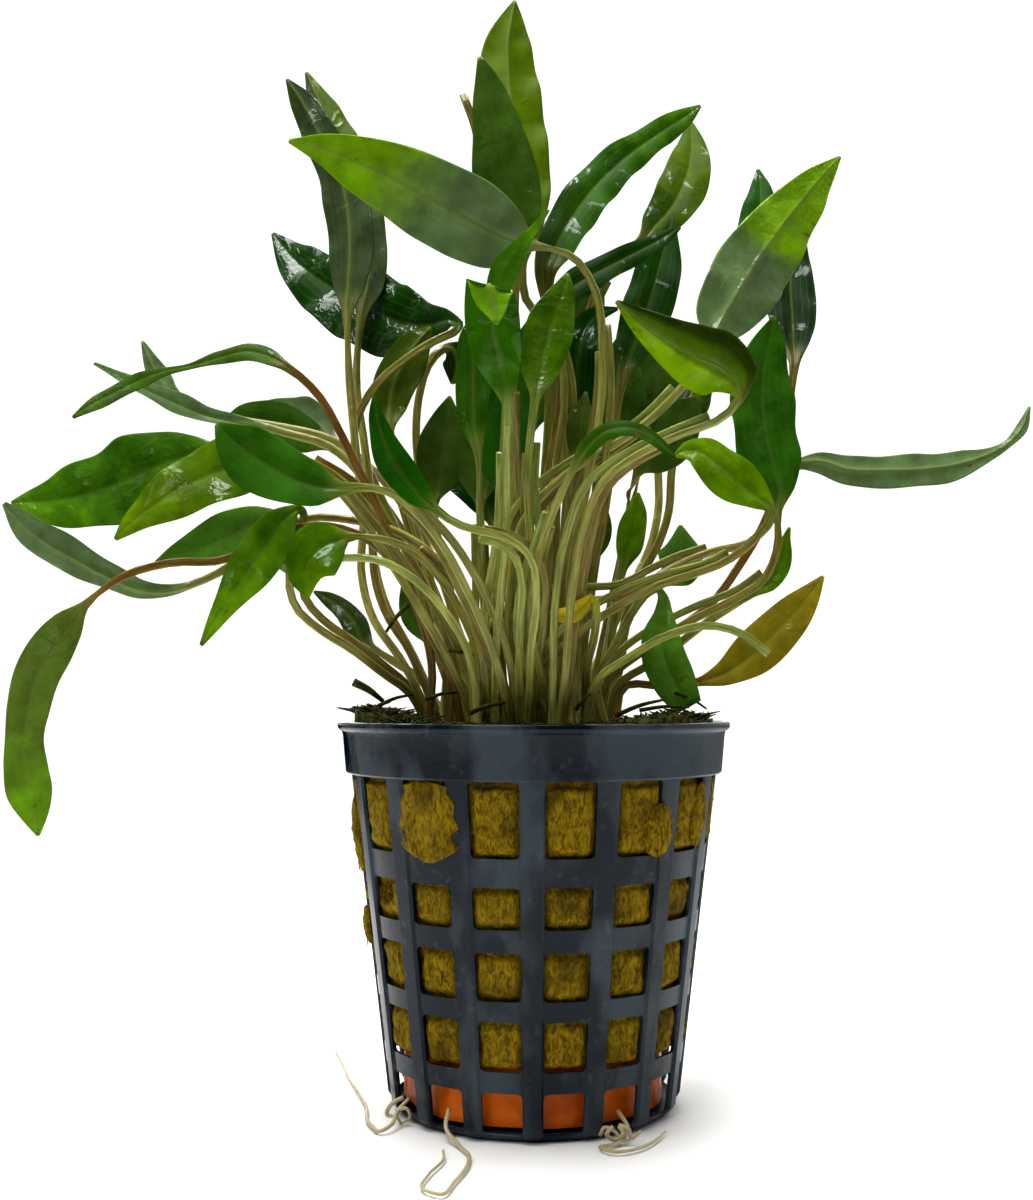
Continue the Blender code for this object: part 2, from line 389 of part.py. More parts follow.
# Roots that came out through the lowest windows and lie on what the pot stands on.
ROOTS = {
    "root_left": [(-16.5, -10.7, 3.2), (-17.9, -12.3, 2.0), (-18.6, -14.8, 0.9),
        (-19.8, -15.7, 0.5), (-21.1, -13.6, 0.5), (-22.9, -4.4, 0.5), (-25.4, 4.5, 0.5),
        (-26.6, 8.6, 0.5), (-28.6, 17.0, 0.5), (-31.0, 26.0, 0.5)],
    "root_loop": [(-11.0, -15.9, 3.4), (-11.3, -18.4, 1.8), (-9.6, -21.2, 0.5),
        (-8.2, -25.2, 0.5), (-8.4, -30.0, 0.5), (-9.5, -34.4, 0.5), (-10.9, -38.6, 0.5),
        (-12.9, -37.0, 0.5), (-12.6, -32.0, 0.5), (-11.2, -26.7, 0.5),
        (-11.4, -23.4, 0.5)],
    "root_coil": [(10.5, -16.3, 3.2), (11.6, -18.4, 1.7), (10.2, -20.6, 0.5),
        (7.9, -22.2, 0.5), (9.6, -23.9, 0.5), (12.6, -22.6, 0.5), (15.0, -19.4, 0.5),
        (16.6, -15.9, 0.5)],
}


def linear(colour):
    """The linear values of a colour written as screen red, green and blue."""
    parts = [(colour >> shift & 255) / 255 for shift in (16, 8, 0)]
    return [c / 12.92 if c <= 0.04045 else ((c + 0.055) / 1.055) ** 2.4 for c in parts]


def add_material(name, colour, roughness):
    material = bpy.data.materials.new(name)
    material.use_nodes = True
    shader = material.node_tree.nodes["Principled BSDF"]
    shader.inputs["Base Color"].default_value = (*linear(colour), 1)
    shader.inputs["Roughness"].default_value = roughness
    shader.inputs["Metallic"].default_value = 0.0
    return material


def add_solid(name, points, faces, colour, roughness=LEAF_ROUGHNESS):
    """One closed mesh object with a material of its own, shaded smooth between sharp edges."""
    mesh = bpy.data.meshes.new(name)
    mesh.from_pydata([tuple(np.asarray(p, float) * MM) for p in points], [], faces)
    mesh.validate()
    mesh.shade_smooth()
    mesh.set_sharp_from_angle(angle=SHARP_ANGLE)
    mesh.materials.append(add_material(name, colour, roughness))
    solid = bpy.data.objects.new(name, mesh)
    bpy.context.scene.collection.objects.link(solid)
    return solid


def loft(name, rings, colour, roughness=LEAF_ROUGHNESS):
    """A closed solid through rings of equal point counts, each wound the same way."""
    count = len(rings[0])
    points = [point for ring in rings for point in ring]
    faces = [tuple(range(count - 1, -1, -1))]
    for low in range(0, count * (len(rings) - 1), count):
        for i in range(count):
            j = (i + 1) % count
            a, b, c, d = low + i, low + j, low + count + j, low + count + i
            # The cuts across the upper and the lower side run alike, so a thin twisted blade
            # stays whole.
            faces += [(a, b, d), (b, c, d)] if i % 2 else [(a, b, c), (a, c, d)]
    last = count * (len(rings) - 1)
    faces.append(tuple(last + i for i in range(count)))
    corners = np.array(points)
    volume = 0.0
    for face in faces:
        a = corners[face[0]]
        for i, j in zip(face[1:-1], face[2:]):
            volume += np.dot(a, np.cross(corners[i], corners[j]))
    if volume < 0:
        faces = [face[::-1] for face in faces]
    return add_solid(name, points, faces, colour, roughness)


class Leaf:
    """The sections of one leaf: seen marks, widths and depths, before they become a solid."""

    def __init__(self, root, stalk, blade, depths, lean, fold, side, tone=None):
        across, up = seen_mark((root[0], root[1], CUT_Z))
        marks = [(across, up)] + list(stalk) + [row[:2] for row in blade]
        self.marks = np.array(marks, float)
        self.feet = 1 + len(stalk)
        self.widths = np.array([STALK_W] * self.feet + [row[2] for row in blade])
        self.blade = np.array([0.0] * self.feet + [1.0] * len(blade))
        if blade:
            self.blade[self.feet] = FOOT_SHARE
        self.lean, self.fold, self.side = lean, fold, side
        self.colour = LEAF_COLOURS.get(tone, STALK_COLOUR)
        self.depths = self.first_depths(root[1], depths)
        self.lefts = self.left_directions()

    def first_depths(self, root_depth, depths):
        """Depth grows evenly along the stalk, then along the blade."""
        steps = np.linalg.norm(np.diff(self.marks, axis=0), axis=1)
        along = np.concatenate([[0], np.cumsum(steps)])
        if self.feet == len(along):
            return np.interp(along, (0, along[-1]), (root_depth, depths[1]))
        foot = along[self.feet]
        return np.interp(along, (0, foot, along[-1]), (root_depth, depths[0], depths[1]))

    def left_directions(self):
        """The seen direction across the leaf at each section. A folded tip keeps its sides."""
        ahead = np.gradient(self.marks, axis=0)
        lefts = np.stack([-ahead[:, 1], ahead[:, 0]], axis=1)
        lefts /= np.linalg.norm(lefts, axis=1, keepdims=True)
        for i in range(1, len(lefts)):
            if np.dot(lefts[i], lefts[i - 1]) < FOLDED:
                lefts[i] = -lefts[i]
        return lefts

    def behind(self, at, offset):
        """How far the leaf's surface lies behind its middle, this far to the left of it."""
        slope = self.blade[at] * self.lean
        fold = self.blade[at] * self.fold * self.side
        return slope * offset - fold * np.abs(offset)

    def edge(self, i, offset):
        mark = self.marks[i] + self.lefts[i] * offset
        return seen(*mark, self.depths[i] + self.behind(i, offset))

    def thickness(self, i):
        return STALK_T + (BLADE_T - STALK_T) * self.blade[i]

    def ring(self, i):
        """Left edge, top, right edge and bottom of one section."""
        middle = seen(*self.marks[i], self.depths[i])
        left, right = (self.edge(i, way * self.widths[i] / 2) for way in (1, -1))
        before, after = max(i - 1, 0), min(i + 1, len(self.marks) - 1)
        ahead = seen(*self.marks[after], self.depths[after]) - seen(
            *self.marks[before], self.depths[before])
        normal = np.cross(ahead, left - right)
        normal /= np.linalg.norm(normal)
        if np.dot(normal, EYE - middle) * self.side < 0:
            normal = -normal
        thick = self.thickness(i)
        if i == len(self.marks) - 1 and self.blade[i] > 0:
            thick = TIP_T
        top = middle + normal * thick * TOP_SHARE
        bottom = middle - normal * thick * (1 - TOP_SHARE)
        return [left, top, right, bottom]

    def rings(self):
        rings = [self.ring(i) for i in range(len(self.marks))]
        root = seen(*self.marks[0], self.depths[0])
        up = seen(*self.marks[1], self.depths[1]) - root
        rings[0] = [p + up * (CUT_Z - p[2]) / up[2] for p in rings[0]]
        return rings


def surface_samples(leaf):
    """Points all over a leaf: sight-line cell, section, part of the way on, depth, thickness."""
    found = []
    for i in range(len(leaf.marks) - 1):
        length = np.linalg.norm(leaf.marks[i + 1] - leaf.marks[i])
        for t in np.arange(0, 1, min(0.5, 0.7 * CELL / length)):
            mark = leaf.marks[i] * (1 - t) + leaf.marks[i + 1] * t
            left = leaf.lefts[i] * (1 - t) + leaf.lefts[i + 1] * t
            width = leaf.widths[i] * (1 - t) + leaf.widths[i + 1] * t
            offsets = np.linspace(-width / 2, width / 2, 3 + 2 * int(width / (1.4 * CELL)))
            places = np.round((mark + offsets[:, None] * left) / CELL)
            behind = leaf.behind(i, offsets) * (1 - t) + leaf.behind(i + 1, offsets) * t
            thick = leaf.thickness(i) * (1 - t) + leaf.thickness(i + 1) * t
            for place, back in zip(places, behind):
                found.append((place[0] * 4096 + place[1], i, t, back, thick))
    return np.array(found)


def meeting_pairs(key, owner):
    """Index pairs of samples that share a sight-line cell and belong to different leaves."""
    order = np.argsort(key, kind="stable")
    pairs = []
    for step in range(1, len(order)):
        a, b = order[:-step], order[step:]
        same = key[a] == key[b]
        if not same.any():
            break
        keep = same & (owner[a] != owner[b])
        pairs.append(np.stack([a[keep], b[keep]]))
    a, b = np.concatenate(pairs, axis=1)
    swap = owner[a] > owner[b]
    return np.where(swap, b, a), np.where(swap, a, b)


def settle(leaves):
    """Slides leaves apart along the sight lines where two of them would meet.

    The leaves of a bunch rest beside one another and never pass through. Which of two is in
    front is taken from the first layout, apart for stalk and blade. Then, round by round,
    both are moved away wherever they come closer than their thickness and some room.
    """
    samples = [surface_samples(leaf) for leaf in leaves]
    starts = np.cumsum([0] + [len(leaf.marks) for leaf in leaves])
    owner = np.repeat(np.arange(len(leaves)), [len(rows) for rows in samples])
    key, section, part, behind, thick = np.concatenate(samples).T
    at = starts[owner] + section.astype(int)
    depths = np.concatenate([leaf.depths for leaf in leaves])
    on_blade = np.concatenate([leaf.blade > 0 for leaf in leaves])

    def depth_now():
        return depths[at] * (1 - part) + depths[at + 1] * part + behind

    a, b = meeting_pairs(key, owner)
    kind = 2 * owner + on_blade[at]
    group = kind[a] * 2 * len(leaves) + kind[b]
    _, group = np.unique(group, return_inverse=True)
    apart = depth_now()[b] - depth_now()[a]
    front_first = np.where(np.bincount(group, apart) < 0, -1.0, 1.0)[group]
    room = (thick[a] + thick[b]) / 2 + SPARE
    near = at + (part > 0.5)
    first = starts[owner]
    last = starts[owner + 1] - 1
    for turn in range(ROUNDS):
        now = depth_now()
        lack = room - front_first * (now[b] - now[a])
        tight = lack > 0
        if not tight.any():
            break
        push = np.zeros((2, len(depths)))
        for rows, ways in ((a[tight], -front_first[tight]), (b[tight], front_first[tight])):
            need = PUSH_SHARE * lack[tight] + PUSH_LEAST
            for step, share in ((-1, 0.5), (0, 1.0), (1, 0.5)):
                to = np.clip(near[rows] + step, first[rows], last[rows])
                np.maximum.at(push, ((ways > 0).astype(int), to), need * share)
        depths += push[1] - push[0]
        feet = starts[:-1]
        depths[feet] = np.clip(depths[feet], -ROOT_REACH, ROOT_REACH)
    for leaf, start in zip(leaves, starts):
        leaf.depths = depths[start:start + len(leaf.marks)]
    return turn


def foliage():
    leaves = {name: Leaf(*row) for name, row in LEAVES.items()}
    for name, (root, stalk, depth) in CUT_STALKS.items():
        leaves[name] = Leaf(root, stalk, [], (depth, depth), 0.0, 0.0, UPPER)
    rounds = settle(list(leaves.values()))
    print(f"foliage settled in {rounds} rounds")
    for name, leaf in leaves.items():
        loft(name, leaf.rings(), leaf.colour)


def tube_rings(path):
    """Rings of a root, a bent tube that gets thinner towards its end."""
    path = np.array(path, float)
    ahead = np.gradient(path, axis=0)
    rings = []
    for i, (point, way) in enumerate(zip(path, ahead)):
        way = way / np.linalg.norm(way)
        out = np.cross(way, (0, 0, 1))
        out /= np.linalg.norm(out)
        up = np.cross(out, way)
        radius = ROOT_W / 2 * (1 - ROOT_TAPER * i / (len(path) - 1))
        angles = [2 * math.pi * k / ROOT_SIDES for k in range(ROOT_SIDES)]
        rings.append([point + radius * (math.cos(a) * out + math.sin(a) * up)
                      for a in angles])
    return rings


def around(radius, z, angle):
    """A point on the pot, its angle counted from the front towards the right."""
    return (radius * math.sin(angle), -radius * math.cos(angle), z)


def pot_levels():
    """Outer radius and height, inner radius and height, and what lies above, from the hub up."""
    floor_kinds = (SLOTTED, SOLID, SOLID, OPEN)
    levels = [(*row, kind) for row, kind in zip(FLOOR_PROFILE, floor_kinds)]
    edges = [z for row in WINDOW_ROWS for z in row]
    for n, z in enumerate(edges[1:-1]):
        radius = body_radius(z)
        levels.append((radius, z, radius - WALL, z, OPEN if n % 2 else SOLID))
    return levels + [(*row, SOLID) for row in COLLAR_PROFILE]


def rib_edges():
    """The angles of both edges of each rib, one rib after another."""
    angles = []
    for rib in range(RIBS):
        middle = RIB_TURN + 2 * math.pi * rib / RIBS
        angles += [middle - RIB_ANGLE / 2, middle + RIB_ANGLE / 2]
    return angles


def is_wall(kinds, level, turn):
    """Whether the cell above this level and after this rib edge is wall.

    Under the first level lies the hub, which is closed. Above the last there is nothing.
    """
    if level < 0:
        return True
    if level == len(kinds) - 1:
        return False
    on_rib = turn % 2 == 0
    if kinds[level] == SLOTTED:
        return on_rib or turn % 4 == 1
    return on_rib or kinds[level] == SOLID


def shell_faces(kinds, count):
    """Both skins of each wall cell, and a face through the wall beside each open cell."""

    def corner(level, side, turn):
        return level * 2 * count + side * count + turn % count

    def through(level, turn, next_level, next_turn):
        return (corner(level, 0, turn), corner(next_level, 0, next_turn),
                corner(next_level, 1, next_turn), corner(level, 1, turn))

    faces = []
    for level in range(len(kinds) - 1):
        for turn in range(count):
            if not is_wall(kinds, level, turn):
                continue
            skin = [corner(level, 0, turn), corner(level, 0, turn + 1),
                    corner(level + 1, 0, turn + 1), corner(level + 1, 0, turn)]
            faces.append(skin)
            faces.append([index + count for index in reversed(skin)])
            if not is_wall(kinds, level, turn - 1):
                faces.append(through(level, turn, level + 1, turn))
            if not is_wall(kinds, level, turn + 1):
                faces.append(through(level + 1, turn + 1, level, turn + 1))
            if not is_wall(kinds, level - 1, turn):
                faces.append(through(level, turn + 1, level, turn))
            if not is_wall(kinds, level + 1, turn):
                faces.append(through(level + 1, turn, level + 1, turn + 1))
    return faces


def hub_faces(kinds, count, middle):
    """The two skins of the closed hub, and its edge beside each slot of the floor."""
    faces = []
    for turn in range(count):
        onward = (turn + 1) % count
        faces.append((middle, onward, turn))
        faces.append((middle + 1, count + turn, count + onward))
        if not is_wall(kinds, 0, turn):
            faces.append((turn, onward, count + onward, count + turn))
    return faces


def net_pot():
    """One shell: rings of cells, each either wall or open."""
    levels = pot_levels()
    angles = rib_edges()
    points = []
    for outer_r, outer_z, inner_r, inner_z, _ in levels:
        points += [around(outer_r, outer_z, a) for a in angles]
        points += [around(inner_r, inner_z, a) for a in angles]
    kinds = [row[-1] for row in levels]
    faces = shell_faces(kinds, len(angles)) + hub_faces(kinds, len(angles), len(points))
    points += [(0, 0, 0), (0, 0, WALL)]
    add_solid("net_pot", points, faces, POT_COLOUR, POT_ROUGHNESS)


def rock_wool():
    """A plug cut to the pot's taper, with a narrower foot that stands inside the strip."""

    def side_radius(z):
        return body_radius(z) - WALL - GAP

    foot_r = STRIP_R - STRIP_WALL - GAP
    shoulder = STRIP_Z[1] + 0.4
    levels = [(foot_r - 0.5, WALL + GAP), (foot_r, 2.0), (foot_r, shoulder)]
    levels += [(side_radius(shoulder), shoulder + 0.5)]
    levels += [(side_radius(z), z) for z in WOOL_BODY_Z]
    levels += [(side_radius(WOOL_BODY_Z[-1]), WOOL_TOP)]
    angles = [2 * math.pi * k / WOOL_SIDES for k in range(WOOL_SIDES)]
    rings = [[around(r, z, a) for a in angles] for r, z in levels]
    loft("rock_wool", rings, WOOL_COLOUR, FIBRE_ROUGHNESS)


def rolled_strip():
    """The strip set round inside the foot of the pot, its ends apart at the back."""
    low, high = STRIP_Z
    inner = STRIP_R - STRIP_WALL
    rings = []
    for step in range(STRIP_STEPS + 1):
        angle = STRIP_ARC * (step / STRIP_STEPS - 0.5)
        rings.append([around(STRIP_R, low, angle), around(STRIP_R, high, angle),
                      around(inner, high, angle), around(inner, low, angle)])
    loft("orange_strip", rings, STRIP_COLOUR, POT_ROUGHNESS)


# Heaps of moss and litter: middle (x, y), height above the flat and spread. They rise from
# the edge of the ground that the stalks stand in.
HEAPS = (((-22.5, -7), 2.3, 4.2), ((-22, 6), 1.7, 5.0), ((16.5, -15.5), 1.9, 3.4),
         ((21.5, -3), 0.9, 4.0), ((1, 22), 1.2, 5.0))
HEAP_EASE = 3.0


def moss_height(x, y):
    heaps = 0.0
    for (a, b), high, spread in HEAPS:
        heaps += high * math.exp(-((x - a) ** 2 + (y - b) ** 2) / (2 * spread ** 2))
    ease = min(1.0, max(0.0, (math.hypot(x, y) - ROOT_REACH) / HEAP_EASE))
    return MOSS_TOP + heaps * ease


def moss():
    """A flat cushion over the wool, heaped up near the rim."""
    angles = [2 * math.pi * k / MOSS_SIDES for k in range(MOSS_SIDES)]
    points = [(0, 0, MOSS_TOP)]
    for radius in MOSS_RINGS:
        for angle in angles:
            x, y, _ = around(radius, 0, angle)
            points.append((x, y, moss_height(x, y)))
    for radius, z in MOSS_SKIRT:
        points += [around(radius, z, angle) for angle in angles]
    faces = [(0, 1 + k, 1 + (k + 1) % MOSS_SIDES) for k in range(MOSS_SIDES)]
    rows = len(MOSS_RINGS) + len(MOSS_SKIRT)
    for row in range(rows - 1):
        low, high = 1 + row * MOSS_SIDES, 1 + (row + 1) * MOSS_SIDES
        for k in range(MOSS_SIDES):
            j = (k + 1) % MOSS_SIDES
            faces.append((low + k, high + k, high + j, low + j))
    last = 1 + (rows - 1) * MOSS_SIDES
    faces.append(tuple(last + k for k in reversed(range(MOSS_SIDES))))
    add_solid("moss_litter", points, faces, MOSS_COLOUR, FIBRE_ROUGHNESS)


for old in list(bpy.data.objects):
    bpy.data.objects.remove(old)
net_pot()
rock_wool()
rolled_strip()
moss()
foliage()
for root_name, root_path in ROOTS.items():
    loft(root_name, tube_rings(root_path), ROOT_COLOUR, FIBRE_ROUGHNESS)
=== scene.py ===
# %% [markdown]
# # A potted water trumpet
# This is a small aquarium plant: a bunch of leaves on slender stalks, rooted in a plug of
# mineral wool inside a slotted plastic pot. Its solids were made beforehand and come in here
# as a fixed frame. Every one of them is plain, so each gets a finer mesh in its own place and
# a finish of its own. The lengths below are in millimetres, and one helper turns them into
# metres.

# %% Load the solids
import json
import math
import random

import bpy
import numpy as np
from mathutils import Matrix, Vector, noise
from mathutils.bvhtree import BVHTree


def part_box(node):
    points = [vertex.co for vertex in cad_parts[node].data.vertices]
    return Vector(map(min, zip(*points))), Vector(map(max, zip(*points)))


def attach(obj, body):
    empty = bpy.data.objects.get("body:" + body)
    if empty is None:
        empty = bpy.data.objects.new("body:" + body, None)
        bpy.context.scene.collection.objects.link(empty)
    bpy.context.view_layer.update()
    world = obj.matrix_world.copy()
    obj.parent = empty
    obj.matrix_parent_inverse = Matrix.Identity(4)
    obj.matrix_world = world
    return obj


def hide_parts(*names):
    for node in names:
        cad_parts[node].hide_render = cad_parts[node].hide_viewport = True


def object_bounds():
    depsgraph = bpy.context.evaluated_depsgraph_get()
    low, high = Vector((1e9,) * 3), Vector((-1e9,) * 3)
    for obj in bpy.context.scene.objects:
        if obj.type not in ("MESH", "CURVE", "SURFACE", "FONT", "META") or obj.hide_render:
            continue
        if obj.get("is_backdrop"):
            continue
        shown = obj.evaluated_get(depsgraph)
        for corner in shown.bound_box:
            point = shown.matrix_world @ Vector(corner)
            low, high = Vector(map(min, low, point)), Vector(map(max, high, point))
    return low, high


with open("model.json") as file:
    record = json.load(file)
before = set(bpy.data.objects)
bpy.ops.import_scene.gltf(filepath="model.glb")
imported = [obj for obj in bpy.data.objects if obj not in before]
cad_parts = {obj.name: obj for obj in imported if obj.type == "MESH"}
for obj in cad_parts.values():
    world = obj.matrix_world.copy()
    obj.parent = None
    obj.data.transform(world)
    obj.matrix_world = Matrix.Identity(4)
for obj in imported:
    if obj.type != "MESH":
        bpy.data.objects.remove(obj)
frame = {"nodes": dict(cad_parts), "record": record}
cad_low, cad_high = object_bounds()
MM = 0.001
print(len(frame["nodes"]), "solids, height in mm:", round(cad_high.z / MM, 1))

# %% [markdown]
# ## The view
# The plant was seen from close by, 200 mm in front of the pot's axis and a little above its
# rim, with the camera tilted up by four degrees. A lens that near makes the front leaves
# large, so the distance matters as much as the angle. The focal length follows from the
# height of the picture at that distance.

# %% Camera
EYE = np.array((-2.4, -200.0, 56.0))
PITCH = math.radians(3.9)
PICTURE_HEIGHT = 170.4  # mm that the picture takes in at the eye's distance from the axis
SENSOR = 36.0

camera_data = bpy.data.cameras.new("camera")
camera_data.sensor_width = SENSOR
camera_data.lens = SENSOR * -EYE[1] / PICTURE_HEIGHT
camera_data.clip_start = 0.005
camera = bpy.data.objects.new("camera", camera_data)
camera.location = EYE * MM
camera.rotation_euler = (math.pi / 2 + PITCH, 0, 0)
bpy.context.scene.collection.objects.link(camera)
bpy.context.scene.camera = camera
print("focal length", round(camera_data.lens, 2))

# %% [markdown]
# ## Colours and shader nodes
# Colours are written as the hex values that a screen shows. A renderer adds up light, so it
# needs them linear: one function does that. A material is a tree of nodes, and one more
# function adds a node together with its settings and its links, which keeps the recipes
# below short enough to read.

# %% Helpers for finishes
COLOUR_A, COLOUR_B = 6, 7  # the colour inputs of a Mix node


def linear(code):
    """The linear red, green, blue and alpha of a colour such as 0x557A12."""
    parts = [(code >> shift & 255) / 255 for shift in (16, 8, 0)]
    values = [c / 12.92 if c <= 0.04045 else ((c + 0.055) / 1.055) ** 2.4 for c in parts]
    return (*values, 1.0)


def add_node(tree, kind, settings=None, links=None):
    """Adds one node, sets its properties and input values, and links its inputs.

    A link starts at a socket, or at the first output of a node that is in use.
    """
    node = tree.nodes.new("ShaderNode" + kind)
    for name, value in (settings or {}).items():
        if isinstance(name, str) and hasattr(node, name):
            setattr(node, name, value)
        else:
            node.inputs[name].default_value = value
    for name, source in (links or {}).items():
        if isinstance(source, bpy.types.Node):
            source = next(socket for socket in source.outputs if socket.enabled)
        tree.links.new(source, node.inputs[name])
    return node


def new_material(name, recipe, *colours):
    """A material whose surface is the shader that a recipe builds."""
    material = bpy.data.materials.new(name)
    material.use_nodes = True
    material.node_tree.nodes.clear()
    shader = recipe(material.node_tree, *colours)
    add_node(material.node_tree, "OutputMaterial", {}, {"Surface": shader})
    return material


def per_mm(size):
    """The scale of a texture whose features are this many millimetres wide."""
    return 1 / (size * MM)


print("a mid grey as linear light:", round(linear(0x808080)[0], 3))

# %% [markdown]
# ## Meshes
# Every piece below is worked out as points and faces. The helper scales it to metres, shades
# it smooth except across real edges, gives it its finish and hides the plain solids it stands
# for. It can also store numbers on the points, such as how far along a leaf a point lies. The
# finishes read those numbers, so a vein follows its leaf however it bends.
# A strand or a leaf is a closed skin over rings of points, and many of them make one piece.

# %% Helpers for pieces
def add_piece(name, points, faces, material, replaces=(), facts=None, sharp=180):
    """A mesh object that rides on the frame. facts are numbers kept on its points."""
    mesh = bpy.data.meshes.new(name)
    mesh.from_pydata((np.asarray(points, float) * MM).tolist(), [], faces)
    mesh.validate()
    mesh.shade_smooth()
    if sharp < 180:
        mesh.set_sharp_from_angle(angle=math.radians(sharp))
    for word, values in (facts or {}).items():
        attribute = mesh.attributes.new(word, "FLOAT", "POINT")
        attribute.data.foreach_set("value", np.asarray(values, np.float32).ravel())
    mesh.materials.append(material)
    piece = bpy.data.objects.new(name, mesh)
    bpy.context.scene.collection.objects.link(piece)
    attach(piece, "root")
    if replaces:
        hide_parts(*replaces)
    return piece


def grid_faces(rows, columns):
    """Quads over a grid of points, row by row, with the last column joined to the first."""
    row, column = np.meshgrid(np.arange(rows - 1), np.arange(columns))
    row, column = row.ravel(), column.ravel()
    onward = (column + 1) % columns
    corners = (row * columns + column, row * columns + onward,
               (row + 1) * columns + onward, (row + 1) * columns + column)
    return np.stack(corners, 1).tolist()


def around(radius, z, angle):
    """A point on the pot. The angle counts from the front towards the right."""
    return (radius * math.sin(angle), -radius * math.cos(angle), z)


def clumps(x, y, z, size):
    """Smooth noise between about -1 and 1, with clumps of this size in mm."""
    return noise.fractal(Vector((x, y, z)) / size, 0.6, 2.0, 3)


def close_skin(rings):
    """Faces over rings of points, with both ends closed, all facing outwards."""
    rows, columns = rings.shape[:2]
    quads = np.array(grid_faces(rows, columns))
    a, b, c, d = (rings.reshape(-1, 3) - rings.mean((0, 1)))[quads].transpose(1, 0, 2)
    volume = np.sum(a * (np.cross(b, c) + np.cross(c, d)))
    faces = quads.tolist()
    faces.append(list(range(columns - 1, -1, -1)))
    faces.append([(rows - 1) * columns + i for i in range(columns)])
    return faces if volume > 0 else [face[::-1] for face in faces]


def gather(name, parts, material, replaces=()):
    """One piece made of several closed skins, each with the numbers kept on its points."""
    points, faces, facts, count = [], [], {}, 0
    for rings, words in parts:
        faces += [[count + i for i in face] for face in close_skin(rings)]
        points.append(rings.reshape(-1, 3))
        count += len(points[-1])
        for word, values in words.items():
            facts.setdefault(word, []).append(values.ravel())
    facts = {word: np.concatenate(values) for word, values in facts.items()}
    return add_piece(name, np.concatenate(points), faces, material, replaces, facts)


def bare(skins):
    """Parts for gather that keep no numbers on their points."""
    return [(rings, {}) for rings in skins]


print("faces on a grid of 3 by 4 points:", len(grid_faces(3, 4)))

# %% [markdown]
# ## The net pot
# The pot is one injection moulding in slate-grey polypropylene, with a slightly wavy satin
# skin that the mould left. Water still clings to it, so some patches are glossier and
# darker. The colour is a dark blue-grey, and broad noise varies both it and the roughness.

# %% Pot finish
SLATE, WET_SLATE, CHALK = 0x39434A, 0x0D1721, 0x5E686A
PALER_TO_RIGHT = -4.0  # per metre: how far the dark, glossy patches thin out towards the pot's right side


def moulded_polypropylene(tree):
    """Satin plastic: IOR 1.49, roughness near 0.4, lower where it is wet."""
    place = add_node(tree, "TexCoord").outputs["Object"]
    upright = add_node(tree, "VectorMath", {"operation": "MULTIPLY", 1: (1.0, 1.0, 0.5)},
                       {0: place})
    damp = add_node(tree, "TexNoise", {"Scale": per_mm(9), "Detail": 3.0}, {"Vector": upright})
    rightwards = add_node(tree, "SeparateXYZ", {}, {0: place}).outputs["X"]
    thinned_to_right = add_node(tree, "Math", {"operation": "MULTIPLY_ADD", 1: PALER_TO_RIGHT},
                     {0: rightwards, 2: damp})
    wet = add_node(tree, "MapRange", {"From Min": 0.42, "From Max": 0.56}, {"Value": thinned_to_right})
    skin = add_node(tree, "Mix", {"data_type": "RGBA", COLOUR_A: linear(SLATE),
                                  COLOUR_B: linear(WET_SLATE)}, {0: wet})
    scuff = add_node(tree, "TexNoise", {"Scale": per_mm(1.6), "Detail": 4.0}, {"Vector": place})
    scuffed = add_node(tree, "MapRange", {"From Min": 0.6, "From Max": 0.8, "To Max": 0.35},
                       {"Value": scuff})
    colour = add_node(tree, "Mix", {"data_type": "RGBA", COLOUR_B: linear(CHALK)},
                      {0: scuffed, COLOUR_A: skin})
    gloss = add_node(tree, "MapRange", {"To Min": 0.42, "To Max": 0.16}, {"Value": wet})
    grain = add_node(tree, "TexNoise", {"Scale": per_mm(0.7), "Detail": 5.0}, {"Vector": place})
    relief = add_node(tree, "Bump", {"Strength": 0.35, "Distance": 0.08 * MM}, {"Height": grain})
    return add_node(tree, "BsdfPrincipled", {"IOR": 1.49, "Specular IOR Level": 0.22},
                    {"Base Color": colour, "Normal": relief, "Roughness": gloss})


pot_finish = new_material("moulded_polypropylene", moulded_polypropylene)
print("finish", pot_finish.name)

# %% [markdown]
# The pot could be cut from a cone with a Boolean, but 80 windows with rounded corners make
# that slow and ragged. Here it is a grid that wraps round the pot: its rows and columns run
# along the window edges, the cells in a window are left out, and each window corner is
# filled in up to an arc. The ribs stand a little proud of the hoops between the windows.

# %% Pot sizes
RIM_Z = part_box("net_pot")[1].z / MM
RIM_R = 27.5
BODY_TOP_R, BASE_R = 25.6, 20.0
COLLAR_Z = 45.4
WALL = 0.8
RIBS = 16
RIB_TURN = math.radians(-1.0)
SECTOR = 2 * math.pi / RIBS
WINDOW_HALF = 2 / 3  # half a window's width, counted from its middle to the next rib's
RIB_FACE = 0.74  # where the rib has come up to its full height, counted the same way
RECESS = 0.35  # how far the hoops lie behind the ribs
CORNER = 0.6  # radius of the window corners
WINDOW_ROWS = ((0.9, 6.3), (9.0, 15.3), (17.9, 24.0), (26.9, 32.2), (35.8, 45.4))
SLOT_ENDS = (5.0, 14.5)
# outer radius and height, then inner radius and height, from the collar's foot to the rim
COLLAR = ((26.05, 45.4, 25.3, 46.0), (26.3, 45.65, 25.5, 46.4), (26.45, 47.2, 25.7, 47.6),
          (26.75, 50.6, 25.95, 51.0), (26.9, 51.2, 26.1, 51.7), (27.2, 51.4, 26.4, 52.0),
          (27.42, 51.6, 26.6, 52.2), (RIM_R, 51.9, 26.68, 52.3), (RIM_R, 52.2, 26.75, 52.4),
          (27.4, RIM_Z - 0.08, 26.85, RIM_Z - 0.04), (27.2, RIM_Z, 27.0, RIM_Z))
OPEN, SOLID, LOW_CORNER, HIGH_CORNER, SLOTTED = "open solid low_corner high_corner slotted".split()


